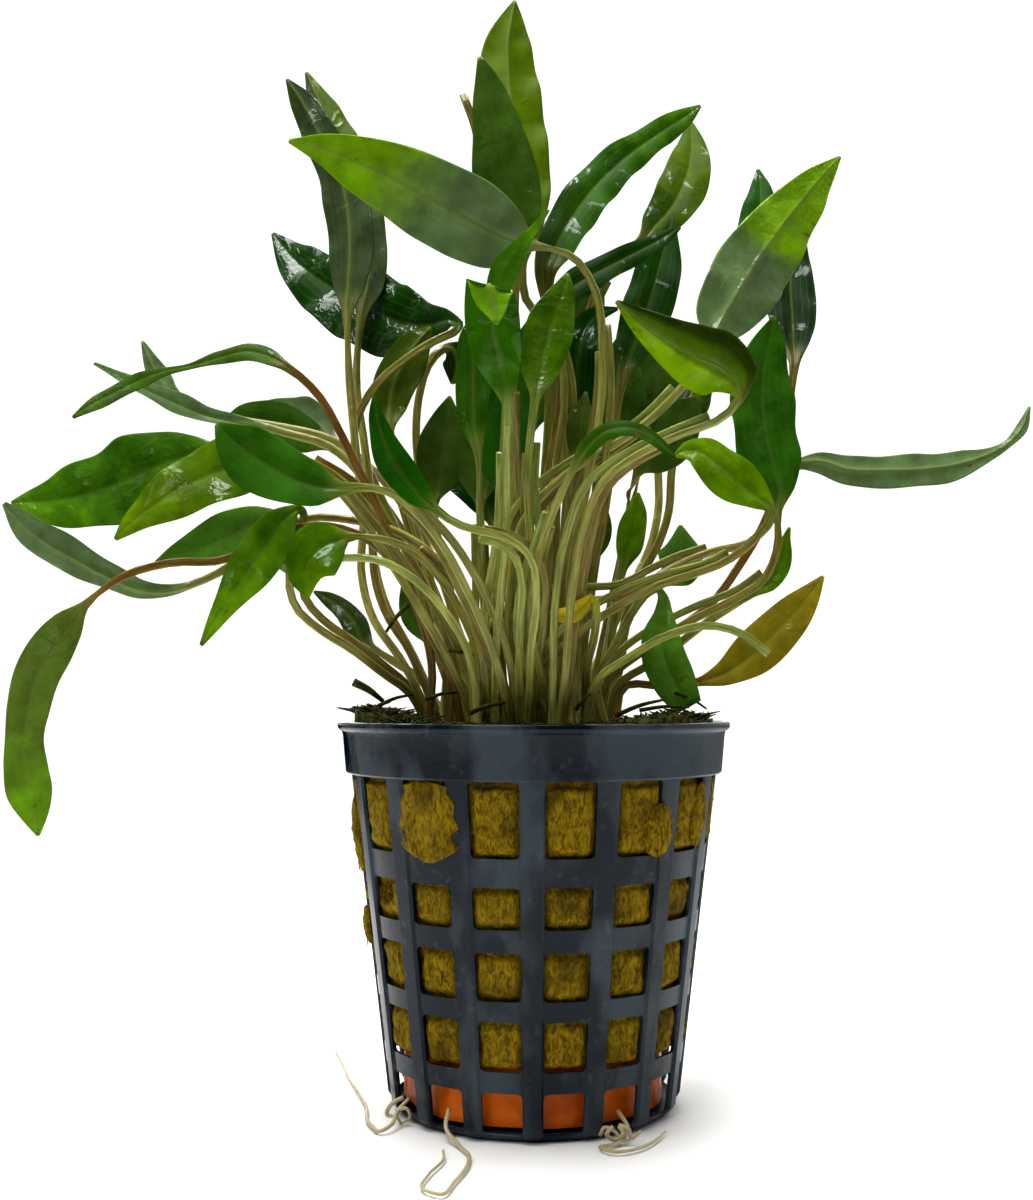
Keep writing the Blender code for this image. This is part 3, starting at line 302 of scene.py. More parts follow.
def body_radius(z):
    return BASE_R + (BODY_TOP_R - BASE_R) * z / COLLAR_Z


def pot_rows():
    """Outer and inner radius and height of each row, what lies above it, and its recess."""
    hub, slot_end = SLOT_ENDS
    rows = [(hub, 0, hub, WALL, SLOTTED, 0), (9, 0, 9, WALL, SLOTTED, 0),
            (slot_end, 0, slot_end, WALL, SOLID, 0), (17.9, 0, 17.7, WALL, SOLID, 0),
            (18.9, 0.2, 18.2, 0.9, SOLID, 0.3)]
    for number, (low, high) in enumerate(WINDOW_ROWS):
        heights = [(low, LOW_CORNER), (low + CORNER, OPEN), ((low + high) / 2, OPEN),
                   (high - CORNER, HIGH_CORNER), (high, SOLID)]
        if number + 1 < len(WINDOW_ROWS):
            above = WINDOW_ROWS[number + 1][0]
            heights += [(high + 0.5, SOLID), (above - 0.5, SOLID)]
        for z, kind in heights:
            radius = body_radius(z)
            tuck = 0.3 if z == WINDOW_ROWS[0][0] else 0.0
            rows.append((radius - tuck, z, radius - WALL, max(z, 1.1), kind, 1))
    rows[-1] = (BODY_TOP_R, COLLAR_Z, BODY_TOP_R - WALL, COLLAR_Z + 0.4, SOLID, 0.4)
    return rows + [(*row, SOLID, 0) for row in COLLAR]


def column_places():
    """Where the columns of one sector stand, from one rib's middle to the next, in -1 to 1."""
    corner = CORNER / (body_radius(20) * SECTOR / 2)
    inner = WINDOW_HALF - corner
    return [-1, -RIB_FACE, -WINDOW_HALF, -inner, -inner / 3, inner / 3, inner, WINDOW_HALF,
            RIB_FACE]


print("pot rows", len(pot_rows()), "columns", RIBS * len(column_places()))

# %% [markdown]
# The next cell walks over the grid. A cell is wall, open, or a window corner. A wall cell
# gets a face on the outside and one on the inside, and a strip through the wall wherever it
# borders an open cell. A corner cell gets a fan of three triangles up to the arc instead.

# %% Pot mesh
class PotGrid:
    """The pot's points and faces, gathered row by row and column by column."""

    def __init__(self):
        self.rows = pot_rows()
        self.places = column_places()
        self.columns = RIBS * len(self.places)
        self.points = []
        self.faces = []
        for outer_r, outer_z, inner_r, inner_z, _, recess in self.rows:
            for side_r, side_z, dent in ((outer_r, outer_z, RECESS), (inner_r, inner_z, 0)):
                for column in range(self.columns):
                    place, angle = self.column(column)
                    rise = np.clip((abs(place) - WINDOW_HALF) / (RIB_FACE - WINDOW_HALF), 0, 1)
                    radius = side_r - dent * recess * (1 - rise)
                    self.points.append(around(radius, side_z, angle))

    def column(self, column):
        sector, number = divmod(column, len(self.places))
        place = self.places[number]
        return place, RIB_TURN + SECTOR * (sector + 0.5 + place / 2)

    def kind(self, row, column):
        """Wall, open, or which corner of a window this cell is."""
        if row < 0:
            return SOLID
        if row >= len(self.rows) - 1:
            return OPEN
        sector, number = divmod(column % self.columns, len(self.places))
        low, high = 2, len(self.places) - 3  # the cells of a window's two edge columns
        what = self.rows[row][4]
        if what == SLOTTED:
            return OPEN if sector % 2 and low <= number <= high else SOLID
        if what == SOLID or not low <= number <= high:
            return SOLID
        if what == OPEN or low < number < high:
            return OPEN
        return what + (" left" if number == low else " right")

    def corner(self, row, side, column):
        return (2 * row + side) * self.columns + column % self.columns

    def through(self, start, end):
        """A face through the wall, from its outer edge to its inner one."""
        self.faces.append((start, end, end + self.columns, start + self.columns))

    def wall_cell(self, row, column):
        a, b = self.corner(row, 0, column), self.corner(row, 0, column + 1)
        c, d = self.corner(row + 1, 0, column + 1), self.corner(row + 1, 0, column)
        self.faces += [(a, b, c, d), tuple(i + self.columns for i in (d, c, b, a))]
        if self.kind(row, column - 1) == OPEN:
            self.through(a, d)
        if self.kind(row, column + 1) == OPEN:
            self.through(c, b)
        if self.kind(row - 1, column) == OPEN:
            self.through(b, a)
        if self.kind(row + 1, column) == OPEN:
            self.through(d, c)

    def corner_cell(self, row, column, kind):
        """The fan between a window's corner and its arc, on both skins and through the wall."""
        low, left = kind.startswith(LOW_CORNER), kind.endswith("left")
        edge_row, inner_row = (row, row + 1) if low else (row + 1, row)
        edge_column, inner_column = (column, column + 1) if left else (column + 1, column)
        arcs = []
        for side in (0, 1):
            tip = self.corner(edge_row, side, edge_column)
            flat = self.corner(edge_row, side, inner_column)
            upright = self.corner(inner_row, side, edge_column)
            middle = np.array(self.points[self.corner(inner_row, side, inner_column)])
            arc = [flat]
            for turn in (math.pi / 6, math.pi / 3):
                arc.append(len(self.points))
                to_flat = np.array(self.points[flat]) - middle
                to_upright = np.array(self.points[upright]) - middle
                spot = middle + to_flat * math.cos(turn) + to_upright * math.sin(turn)
                self.points.append(tuple(spot))
            arc.append(upright)
            flip = (low == left) == (side == 0)
            for start, end in zip(arc, arc[1:]):
                self.faces.append((tip, end, start) if flip else (tip, start, end))
            arcs.append(arc)
        for i in range(3):
            quad = (arcs[0][i], arcs[0][i + 1], arcs[1][i + 1], arcs[1][i])
            self.faces.append(quad if low == left else quad[::-1])

    def build(self):
        for row in range(len(self.rows) - 1):
            for column in range(self.columns):
                kind = self.kind(row, column)
                if kind == SOLID:
                    self.wall_cell(row, column)
                elif kind != OPEN:
                    self.corner_cell(row, column, kind)
        hub = len(self.points)
        self.points += [(0, 0, 0), (0, 0, WALL)]
        for column in range(self.columns):
            a, b = self.corner(0, 0, column), self.corner(0, 0, column + 1)
            self.faces += [(hub, b, a), (hub + 1, a + self.columns, b + self.columns)]
            if self.kind(0, column) == OPEN:
                self.through(a, b)


grid = PotGrid()
grid.build()
net_pot = add_piece("net_pot_moulding", grid.points, grid.faces, pot_finish,
                    ["net_pot"], sharp=35)
soften = net_pot.modifiers.new("soft_edges", "BEVEL")
soften.width = 0.13 * MM
soften.segments = 2
soften.limit_method = "ANGLE"
soften.angle_limit = math.radians(40)
print("pot faces", len(grid.faces))

# %% [markdown]
# ## Reading a leaf back from its solid
# A leaf's solid is a chain of four-cornered sections from the root to the tip: left edge,
# upper side, right edge and underside. Walking along its edges from the cut at the bottom
# finds those sections again, in order. The two corners that lie farthest apart are the leaf's
# edges, and of the other two the one nearer to the line between the edges is the upper side.

# %% Sections of a solid
CUT_Z = 52.7  # the height at which the leaf solids start


def rings_of(node, is_start):
    """The solid's rings of points in mm, walking along its edges from those that start it."""
    mesh = frame["nodes"][node].data
    points = np.array([vertex.co for vertex in mesh.vertices]) / MM
    points, same = np.unique(np.round(points, 3), axis=0, return_inverse=True)
    near = [set() for _ in points]
    for edge in mesh.edges:
        a, b = (int(same.ravel()[i]) for i in edge.vertices)
        near[a].add(b)
        near[b].add(a)
    ring = {i for i, point in enumerate(points) if is_start(point)}
    known, rings = set(ring), []
    while ring:
        rings.append(points[sorted(ring)])
        ring = set().union(*(near[i] for i in ring)) - known
        known |= ring
    return rings


def section_of(ring):
    """Two edges, top and bottom of a four-cornered section."""
    pairs = [(np.linalg.norm(ring[i] - ring[j]), i, j) for i in range(4) for j in range(i)]
    _, a, b = max(pairs)
    chord = (ring[a] + ring[b]) / 2
    top, bottom = sorted((ring[i] for i in range(4) if i not in (a, b)),
                         key=lambda point: np.linalg.norm(point - chord))
    return np.array((ring[a], ring[b], top, bottom))


def leaf_sections(node):
    """Left, right, top and bottom of every section, left as seen when the tip points up."""
    rings = rings_of(node, lambda point: abs(point[2] - CUT_Z) < 0.002)
    sections = [section_of(ring) for ring in rings[1:]]
    first, second = sections[0].mean(0), sections[1].mean(0)
    seen_left = np.cross(second - first, first - EYE)
    for section in sections:
        if np.dot(section[0] - section[1], seen_left) < 0:
            section[[0, 1]] = section[[1, 0]]
        seen_left = section[0] - section[1]
    shift = rings[0].mean(0) - sections[0].mean(0)
    foot = [min(rings[0], key=lambda p: np.linalg.norm(p - spot)) for spot in sections[0] + shift]
    sections = np.array([foot] + sections)
    left, right, top, bottom = sections.transpose(1, 0, 2)
    ahead = np.gradient(sections.mean(1), axis=0)
    turned = np.sign(np.sum(np.cross(left - right, top - bottom) * ahead, axis=1))
    widest = np.argmax(np.linalg.norm(left - right, axis=1))
    swapped = turned != turned[widest]
    sections[swapped] = sections[swapped][:, [0, 1, 3, 2]]
    return sections


print("sections of the tallest leaf:", len(leaf_sections("leaf_tallest")))

# %% [markdown]
# ## Growing a leaf
# The solid's few sections give the leaf's path, width, tilt and fold. A smooth curve through
# them gives as many sections as the finer mesh needs. The real blade is about 0.3 mm thick
# and thins to its margin. A pale midrib stands out below and is a groove above. The halves
# arch a little between rib and margin, and the margins wave. The stalk is oval, a little more
# than a millimetre wide, with a shallow groove along the top.

# %% Leaf builder
TOP_SHARE = 0.36  # how much of a section's thickness lies above its middle
STALK_T, BLADE_T = 1.15, 0.55  # thickness of the solids' stalks and blades
SLIMMER = 0.76  # stalk width and thickness here, as a share of the solid's
BLADE_STEPS = (1, 0.96, 0.86, 0.68, 0.48, 0.3, 0.16, 0.07, 0)  # finer towards the midrib
STEM_STEP, BLADE_STEP = 2.0, 0.8  # mm between sections
SUNK = 1.8  # how far the stalks go on into the moss
BLADE_HALF = 0.13  # mm from the middle layer of a blade to its skin, beside the midrib
RIB_HALF_W, RIB_NARROWS = 0.42, 0.24  # half the midrib's width at the foot; less at the tip by
RIB_DEPTH, RIB_FADES = 0.42, 0.34  # how far it stands out at the foot; less at the tip by
GROOVE_DEPTH, GROOVE_HALF_W = 0.13, 0.35  # of the groove along the upper side
ARCH = 0.03  # how far each half of a blade arches, as a share of the blade's width
WAVE = 0.05  # how far a margin waves up and down, as a share of the blade's width
WAVE_LENGTHS = (8.5, 13.0)  # mm, shortest and longest


def curve_through(stops, values, places):
    """The values at these places along a smooth curve through the values at the stops."""
    slopes = np.gradient(values, stops, axis=0)
    after = np.clip(np.searchsorted(stops, places), 1, len(stops) - 1)
    gap = (stops[after] - stops[after - 1])[:, None]
    t = (places - stops[after - 1])[:, None] / gap
    start, end = values[after - 1], values[after]
    lean = (slopes[after - 1] * gap, slopes[after] * gap)
    return ((2 * t**3 - 3 * t**2 + 1) * start + (t**3 - 2 * t**2 + t) * lean[0]
            + (3 * t**2 - 2 * t**3) * end + (t**3 - t**2) * lean[1])


def eased(value, low, high):
    """0 below low, 1 above high, and a smooth rise between."""
    t = np.clip((value - low) / max(high - low, 1e-6), 0, 1)
    return t * t * (3 - 2 * t)


def unit(vectors):
    return vectors / np.linalg.norm(vectors, axis=-1, keepdims=True)


class LeafShape:
    """A leaf's sections, resampled finely, and the points of its skin."""

    def __init__(self, sections, wave, seed, sunk=True):
        left, right, top, bottom = sections.transpose(1, 0, 2)
        thick = np.linalg.norm(top - bottom, axis=1, keepdims=True)
        middle = top + TOP_SHARE * (bottom - top)
        steps = np.linalg.norm(np.diff(middle, axis=0), axis=1)
        stops = np.concatenate([[0], np.cumsum(steps)])
        opened = np.clip((STALK_T - thick) / (STALK_T - BLADE_T), 0, 1)
        if sunk:
            opened[0] = opened[1]
        self.run = self.spread(stops, opened)
        self.middle = curve_through(stops, middle, self.run)
        self.arms = [curve_through(stops, edge - middle, self.run) for edge in (left, right)]
        self.upward = self.square_on(unit(curve_through(stops, unit(top - bottom), self.run)))
        self.opened = np.clip(curve_through(stops, opened, self.run), 0, 1)
        slim = 1 - (1 - SLIMMER) * (1 - self.opened)
        self.arms = [arm * slim for arm in self.arms]
        self.width = sum(np.linalg.norm(arm, axis=1, keepdims=True) for arm in self.arms)
        self.wave, self.chance = wave, random.Random(seed)
        if sunk:
            self.sink()

    def spread(self, stops, opened):
        """Finds the blade's foot and places the sections, closer on the blade than below it."""
        self.length = stops[-1]
        blades = np.flatnonzero(opened[:, 0] > 0.2)
        self.foot = stops[blades[0]] if len(blades) else self.length
        stem = np.linspace(0, self.foot, 2 + int(self.foot / STEM_STEP))
        rest = self.length - self.foot
        blade = np.linspace(self.foot, self.length, 2 + int(rest / BLADE_STEP))
        return np.unique(np.concatenate([stem, blade]))

    def square_on(self, upward):
        """The upward directions turned square to the blade, the tip's like the one before it."""
        across = self.arms[0] - self.arms[1]
        across[-1] = across[-2]
        square = unit(np.cross(across, np.gradient(self.middle, axis=0)))
        return square * np.sign(np.sum(square * upward, axis=1, keepdims=True))

    def sink(self):
        """Carries the stalk on down into the moss."""
        down = unit(self.middle[0] - self.middle[1])
        self.middle = np.vstack([self.middle[0] + down * SUNK, self.middle])
        self.arms = [np.vstack([arm[0], arm]) for arm in self.arms]
        self.upward = np.vstack([self.upward[0], self.upward])
        self.opened = np.vstack([self.opened[0], self.opened])
        self.width = np.vstack([self.width[0], self.width])
        self.run = np.concatenate([[-SUNK], self.run])

    def places_across(self):
        """Where the skin's points lie from the left edge, 1, to the right edge, -1."""
        blade = np.array(BLADE_STEPS + tuple(-x for x in BLADE_STEPS[-2::-1]))
        stalk = np.cos(np.linspace(0, np.pi, len(blade)))
        return self.opened * blade + (1 - self.opened) * stalk

    def lift(self, x):
        """How far each point of the leaf's middle layer is raised: arched halves, wavy margins."""
        along = (self.run[:, None] - self.foot) / max(self.length - self.foot, 0.1)
        calm = eased(along, 0.02, 0.3) * (1 - eased(along, 0.8, 1.0))
        arch = ARCH * self.width * np.sin(np.pi * np.abs(x))
        ripple = 0
        for side in (1, -1):
            phase = self.chance.uniform(0, 6.28)
            length = self.chance.uniform(*WAVE_LENGTHS)
            swing = np.sin(2 * np.pi * self.run[:, None] / length + phase)
            ripple = ripple + swing * np.clip(side * x, 0, 1) ** 1.6
        return self.opened * (arch + calm * self.wave * self.width * ripple)

    def profile(self, x):
        """How far the two skins lie from the middle layer, and how far a point is midrib."""
        mm = x * self.width / 2
        along = eased(self.run[:, None], self.foot, self.length)
        rib = np.exp(-(mm / (RIB_HALF_W - RIB_NARROWS * along)) ** 2)
        bulge = np.sqrt(np.clip(1 - x * x, 0, 1))
        thin = BLADE_HALF * (1 - 0.55 * x * x)
        groove = GROOVE_DEPTH * np.exp(-(mm / GROOVE_HALF_W) ** 2)
        stalk_top = SLIMMER * TOP_SHARE * STALK_T * bulge - groove
        stalk_bottom = -SLIMMER * (1 - TOP_SHARE) * STALK_T * bulge
        top = self.opened * (thin - groove * (1 - along)) + (1 - self.opened) * stalk_top
        ridge = (RIB_DEPTH - RIB_FADES * along) * rib
        bottom = self.opened * (-thin - ridge) + (1 - self.opened) * stalk_bottom
        return top, bottom, rib

    def skin(self):
        """Rings of points, and where each lies: across, and whether on the upper side."""
        x = self.places_across()
        top, bottom, rib = self.profile(x)
        lift = self.lift(x)
        left, right = (arm[:, None, :] for arm in self.arms)
        sheet = self.middle[:, None, :] + np.clip(x, 0, 1)[..., None] * left
        sheet = sheet + np.clip(-x, 0, 1)[..., None] * right
        up = self.upward[:, None, :]
        upper = sheet + (lift + top)[..., None] * up
        under = (sheet + (lift + bottom)[..., None] * up)[:, -2:0:-1]
        across = np.concatenate([x, x[:, -2:0:-1]], axis=1)
        ribs = np.concatenate([rib, rib[:, -2:0:-1]], axis=1)
        above = np.concatenate([np.ones_like(x), np.zeros_like(x[:, 2:])], axis=1)
        return np.concatenate([upper, under], axis=1), across, ribs, above


trial = LeafShape(leaf_sections("leaf_tallest"), WAVE, 1)
print("tallest leaf:", round(trial.foot), "mm of stalk,", round(trial.length), "mm in all")

# %% [markdown]
# ## Leaf finishes
# A water trumpet's leaf is a thin green sheet with a smooth cuticle, and it is still wet. The
# upper side is a deep glossy green. The underside is greyer and duller, with a pale midrib.
# Where light comes through from behind, the green turns bright and yellowish: here that is
# painted into the colour, and so is the shade where a part is turned away. Long veins run
# beside the midrib and close up at the tip. Stalks are pale olive, and some are browner. One
# recipe makes all seven tones of leaf, because only their greens differ. The numbers kept on
# the points tell it where the veins, the wet patches and the painted light and shade lie.

# %% Leaf finishes
TONES = {
    # upper side, underside, and a painted copy lit from behind
    "bright": (0x4E7C00, 0x5C7C14, 0x84A800),
    "fresh": (0x386A00, 0x4C6C10, 0x6C9C00),
    "deep": (0x1E5800, 0x3A5A10, 0x508A00),
    "dark": (0x0C4200, 0x24400C, 0x386E00),
    "grey": (0x60844A, 0x70885A, 0x80A800),
    "olive": (0x3C5800, 0x4A5E10, 0x709000),
    "ochre": (0x9C9024, 0x968A30, 0xC4AC14),
}
MIDRIB, VEIN = 0x84944A, 0x668620
STALK_LOW, STALK_HIGH, STALK_RUDDY = 0xAEB05E, 0x8C9A4C, 0x7E5C2C
SPOILT, YELLOWED = 0x6A4E12, 0xA0A05A
VEINS = 4  # on each half of a blade
LET_THROUGH = 0.32  # the share of light that comes through a blade
FACTS = "across side run opened above rib glow stem ruddy shade wet warm seed".split()


def leaf_veins(tree, fact, mottle):
    """Long veins beside the midrib: faint lines at steady shares of the blade's width."""
    away = add_node(tree, "Math", {"operation": "ABSOLUTE"}, {0: fact["across"]})
    waver = add_node(tree, "Math", {"operation": "MULTIPLY_ADD", 1: 0.12}, {0: mottle, 2: away})
    turns = add_node(tree, "Math", {"operation": "MULTIPLY", 1: VEINS * 2 * math.pi}, {0: waver})
    wave = add_node(tree, "Math", {"operation": "COSINE"}, {0: turns})
    lines = add_node(tree, "MapRange", {"From Min": 0.7, "From Max": 1.0, "To Max": 0.16},
                     {"Value": wave})
    return add_node(tree, "Math", {"operation": "MULTIPLY"}, {0: lines, 1: fact["opened"]})


def leaf_tissue(tree, fact, mottle, veins, upper_green, under_green, painted_lit_green):
    """Mottled green, duller below, and painted bright with an uneven edge where light comes
    through.
    """
    uneven = add_node(tree, "MapRange", {"From Min": 0.3, "From Max": 0.7, "To Min": 0.72,
                                         "To Max": 1.28}, {"Value": mottle})
    # Painted shade: a glow below -1.2 darkens the colour, as if that part were turned away.
    painted_turned_away_shade = add_node(tree, "MapRange", {"From Min": -2.2, "From Max": -1.2,
                                              "To Min": 0.3}, {"Value": fact["glow"]})
    shaded = add_node(tree, "Math", {"operation": "MULTIPLY"},
                      {0: painted_turned_away_shade, 1: fact["shade"]})
    dimmed = add_node(tree, "Math", {"operation": "MULTIPLY"}, {0: uneven, 1: shaded})
    sides = add_node(tree, "Mix", {"data_type": "RGBA", COLOUR_A: linear(under_green),
                                   COLOUR_B: linear(upper_green)}, {0: fact["above"]})
    aged = add_node(tree, "Mix", {"data_type": "RGBA", COLOUR_B: linear(YELLOWED)},
                    {0: fact["warm"], COLOUR_A: sides})
    tissue = add_node(tree, "VectorMath", {"operation": "SCALE"}, {0: aged, "Scale": dimmed})
    veined = add_node(tree, "Mix", {"data_type": "RGBA", COLOUR_B: linear(VEIN)},
                      {0: veins, COLOUR_A: tissue})
    # Painted backlight: a high glow turns the colour to the lit green, with a ragged edge.
    ragged = add_node(tree, "Math", {"operation": "MULTIPLY_ADD", 1: 0.35},
                      {0: mottle, 2: fact["glow"]})
    painted_backlight = add_node(tree, "MapRange", {"From Min": 0.5, "From Max": 0.95, "To Max": 0.92},
                       {"Value": ragged})
    painted_lit_tone = add_node(tree, "VectorMath", {"operation": "SCALE", 0: linear(painted_lit_green)[:3]},
                        {"Scale": dimmed})
    return add_node(tree, "Mix", {"data_type": "RGBA"},
                    {0: painted_backlight, COLOUR_A: veined, COLOUR_B: painted_lit_tone})


def whole_blade(tree, fact, place, tissue):
    """The blade's tissue with its pale midrib and a few spoilt specks."""
    palest = add_node(tree, "MapRange", {"To Min": 0.6, "To Max": 0.25}, {"Value": fact["above"]})
    pale = add_node(tree, "Math", {"operation": "MULTIPLY"}, {0: fact["rib"], 1: palest})
    ribbed = add_node(tree, "Mix", {"data_type": "RGBA", COLOUR_B: linear(MIDRIB)},
                      {0: pale, COLOUR_A: tissue})
    specks = add_node(tree, "TexNoise", {"Scale": 0.55, "Detail": 2.0}, {"Vector": place})
    speck = add_node(tree, "MapRange", {"From Min": 0.7, "From Max": 0.74, "To Max": 0.7},
                     {"Value": specks})
    return add_node(tree, "Mix", {"data_type": "RGBA", COLOUR_B: linear(SPOILT)},
                    {0: speck, COLOUR_A: ribbed})


def leaf_stalk(tree, fact, lengthwise, fibres):
    """The stalk: pale olive, browner in long streaks, and fibrous."""
    streak = add_node(tree, "TexNoise", {"Scale": 0.9, "Detail": 3.0}, {"Vector": lengthwise})
    stalk = add_node(tree, "Mix", {"data_type": "RGBA", COLOUR_A: linear(STALK_LOW),
                                   COLOUR_B: linear(STALK_HIGH)}, {0: fact["stem"]})
    brown = add_node(tree, "Math", {"operation": "MULTIPLY"}, {0: fact["ruddy"], 1: streak})
    browner = add_node(tree, "Math", {"operation": "MULTIPLY", "use_clamp": True, 1: 1.7},
                       {0: brown})
    stem = add_node(tree, "Mix", {"data_type": "RGBA", COLOUR_B: linear(STALK_RUDDY)},
                    {0: browner, COLOUR_A: stalk})
    shade = add_node(tree, "MapRange", {"From Min": 0.35, "From Max": 0.65, "To Min": 0.62,
                                        "To Max": 1.2}, {"Value": fibres})
    return add_node(tree, "VectorMath", {"operation": "SCALE"}, {0: stem, "Scale": shade})


def water_films(tree, fact, place):
    """Where water lies: thinly on the stalk, and in patches on the blade."""
    film = add_node(tree, "TexNoise", {"Scale": 0.2, "Detail": 2.0, "Distortion": 0.8},
                    {"Vector": place})
    wetter = add_node(tree, "Math", {"operation": "ADD"}, {0: film, 1: fact["wet"]})
    on_stalk = add_node(tree, "MapRange", {"To Min": 0.6, "To Max": 0.0},
                        {"Value": fact["opened"]})
    on_blade = add_node(tree, "MapRange", {"From Min": 0.58, "From Max": 0.68},
                        {"Value": wetter})
    return on_stalk, on_blade


def leaf_relief(tree, place, veins, fibres, on_stalk, on_blade):
    """Raised veins, grooves along the stalk, and the swell of the water."""
    beads = add_node(tree, "TexNoise", {"Scale": 1.3, "Detail": 1.0}, {"Vector": place})
    beaded = add_node(tree, "Math", {"operation": "MULTIPLY"}, {0: beads, 1: on_blade})
    grooves = add_node(tree, "Math", {"operation": "MULTIPLY"}, {0: fibres, 1: on_stalk})
    height = add_node(tree, "Math", {"operation": "MULTIPLY_ADD", 1: 0.5}, {0: veins, 2: grooves})
    raised = add_node(tree, "Math", {"operation": "MULTIPLY_ADD", 1: 2.0}, {0: beaded, 2: height})
    return add_node(tree, "Bump", {"Strength": 0.6, "Distance": 0.12 * MM}, {"Height": raised})


def living_leaf(tree, *greens):
    """IOR 1.42, satin, with films of water, and letting light through the blade."""
    fact = {word: add_node(tree, "Attribute", {"attribute_name": word}).outputs["Fac"]
            for word in FACTS}
    place = add_node(tree, "CombineXYZ", {}, {"X": fact["side"], "Y": fact["run"],
                                              "Z": fact["seed"]})
    lengthwise = add_node(tree, "VectorMath", {"operation": "MULTIPLY", 1: (1.0, 0.05, 1.0)},
                          {0: place})
    mottle = add_node(tree, "TexNoise", {"Scale": 0.28, "Detail": 4.0, "Roughness": 0.6},
                      {"Vector": place})
    fibres = add_node(tree, "TexNoise", {"Scale": 4.5, "Detail": 2.0}, {"Vector": lengthwise})
    veins = leaf_veins(tree, fact, mottle)
    tissue = leaf_tissue(tree, fact, mottle, veins, *greens)
    colour = add_node(tree, "Mix", {"data_type": "RGBA"},
                      {0: fact["opened"], COLOUR_A: leaf_stalk(tree, fact, lengthwise, fibres),
                       COLOUR_B: whole_blade(tree, fact, place, tissue)})
    films = water_films(tree, fact, place)
    water = add_node(tree, "Math", {"operation": "MAXIMUM"}, dict(enumerate(films)))
    relief = leaf_relief(tree, place, veins, fibres, *films)
    gloss = add_node(tree, "MapRange", {"To Min": 0.35, "To Max": 0.55}, {"Value": mottle})
    skin = add_node(tree, "BsdfPrincipled",
                    {"IOR": 1.42, "Specular IOR Level": 0.04, "Coat IOR": 1.33,
                     "Coat Roughness": 0.08},
                    {"Base Color": colour, "Normal": relief, "Roughness": gloss,
                     "Coat Weight": water, "Coat Normal": relief})
    through = add_node(tree, "BsdfTranslucent", {}, {"Color": tissue, "Normal": relief})
    share = add_node(tree, "Math", {"operation": "MULTIPLY", 1: LET_THROUGH},
                     {0: fact["opened"]})
    return add_node(tree, "MixShader", {}, {0: share, 1: skin, 2: through})


leaf_finishes = {tone: new_material("leaf_" + tone, living_leaf, *greens)
                 for tone, greens in TONES.items()}
print("leaf finishes", sorted(leaf_finishes))
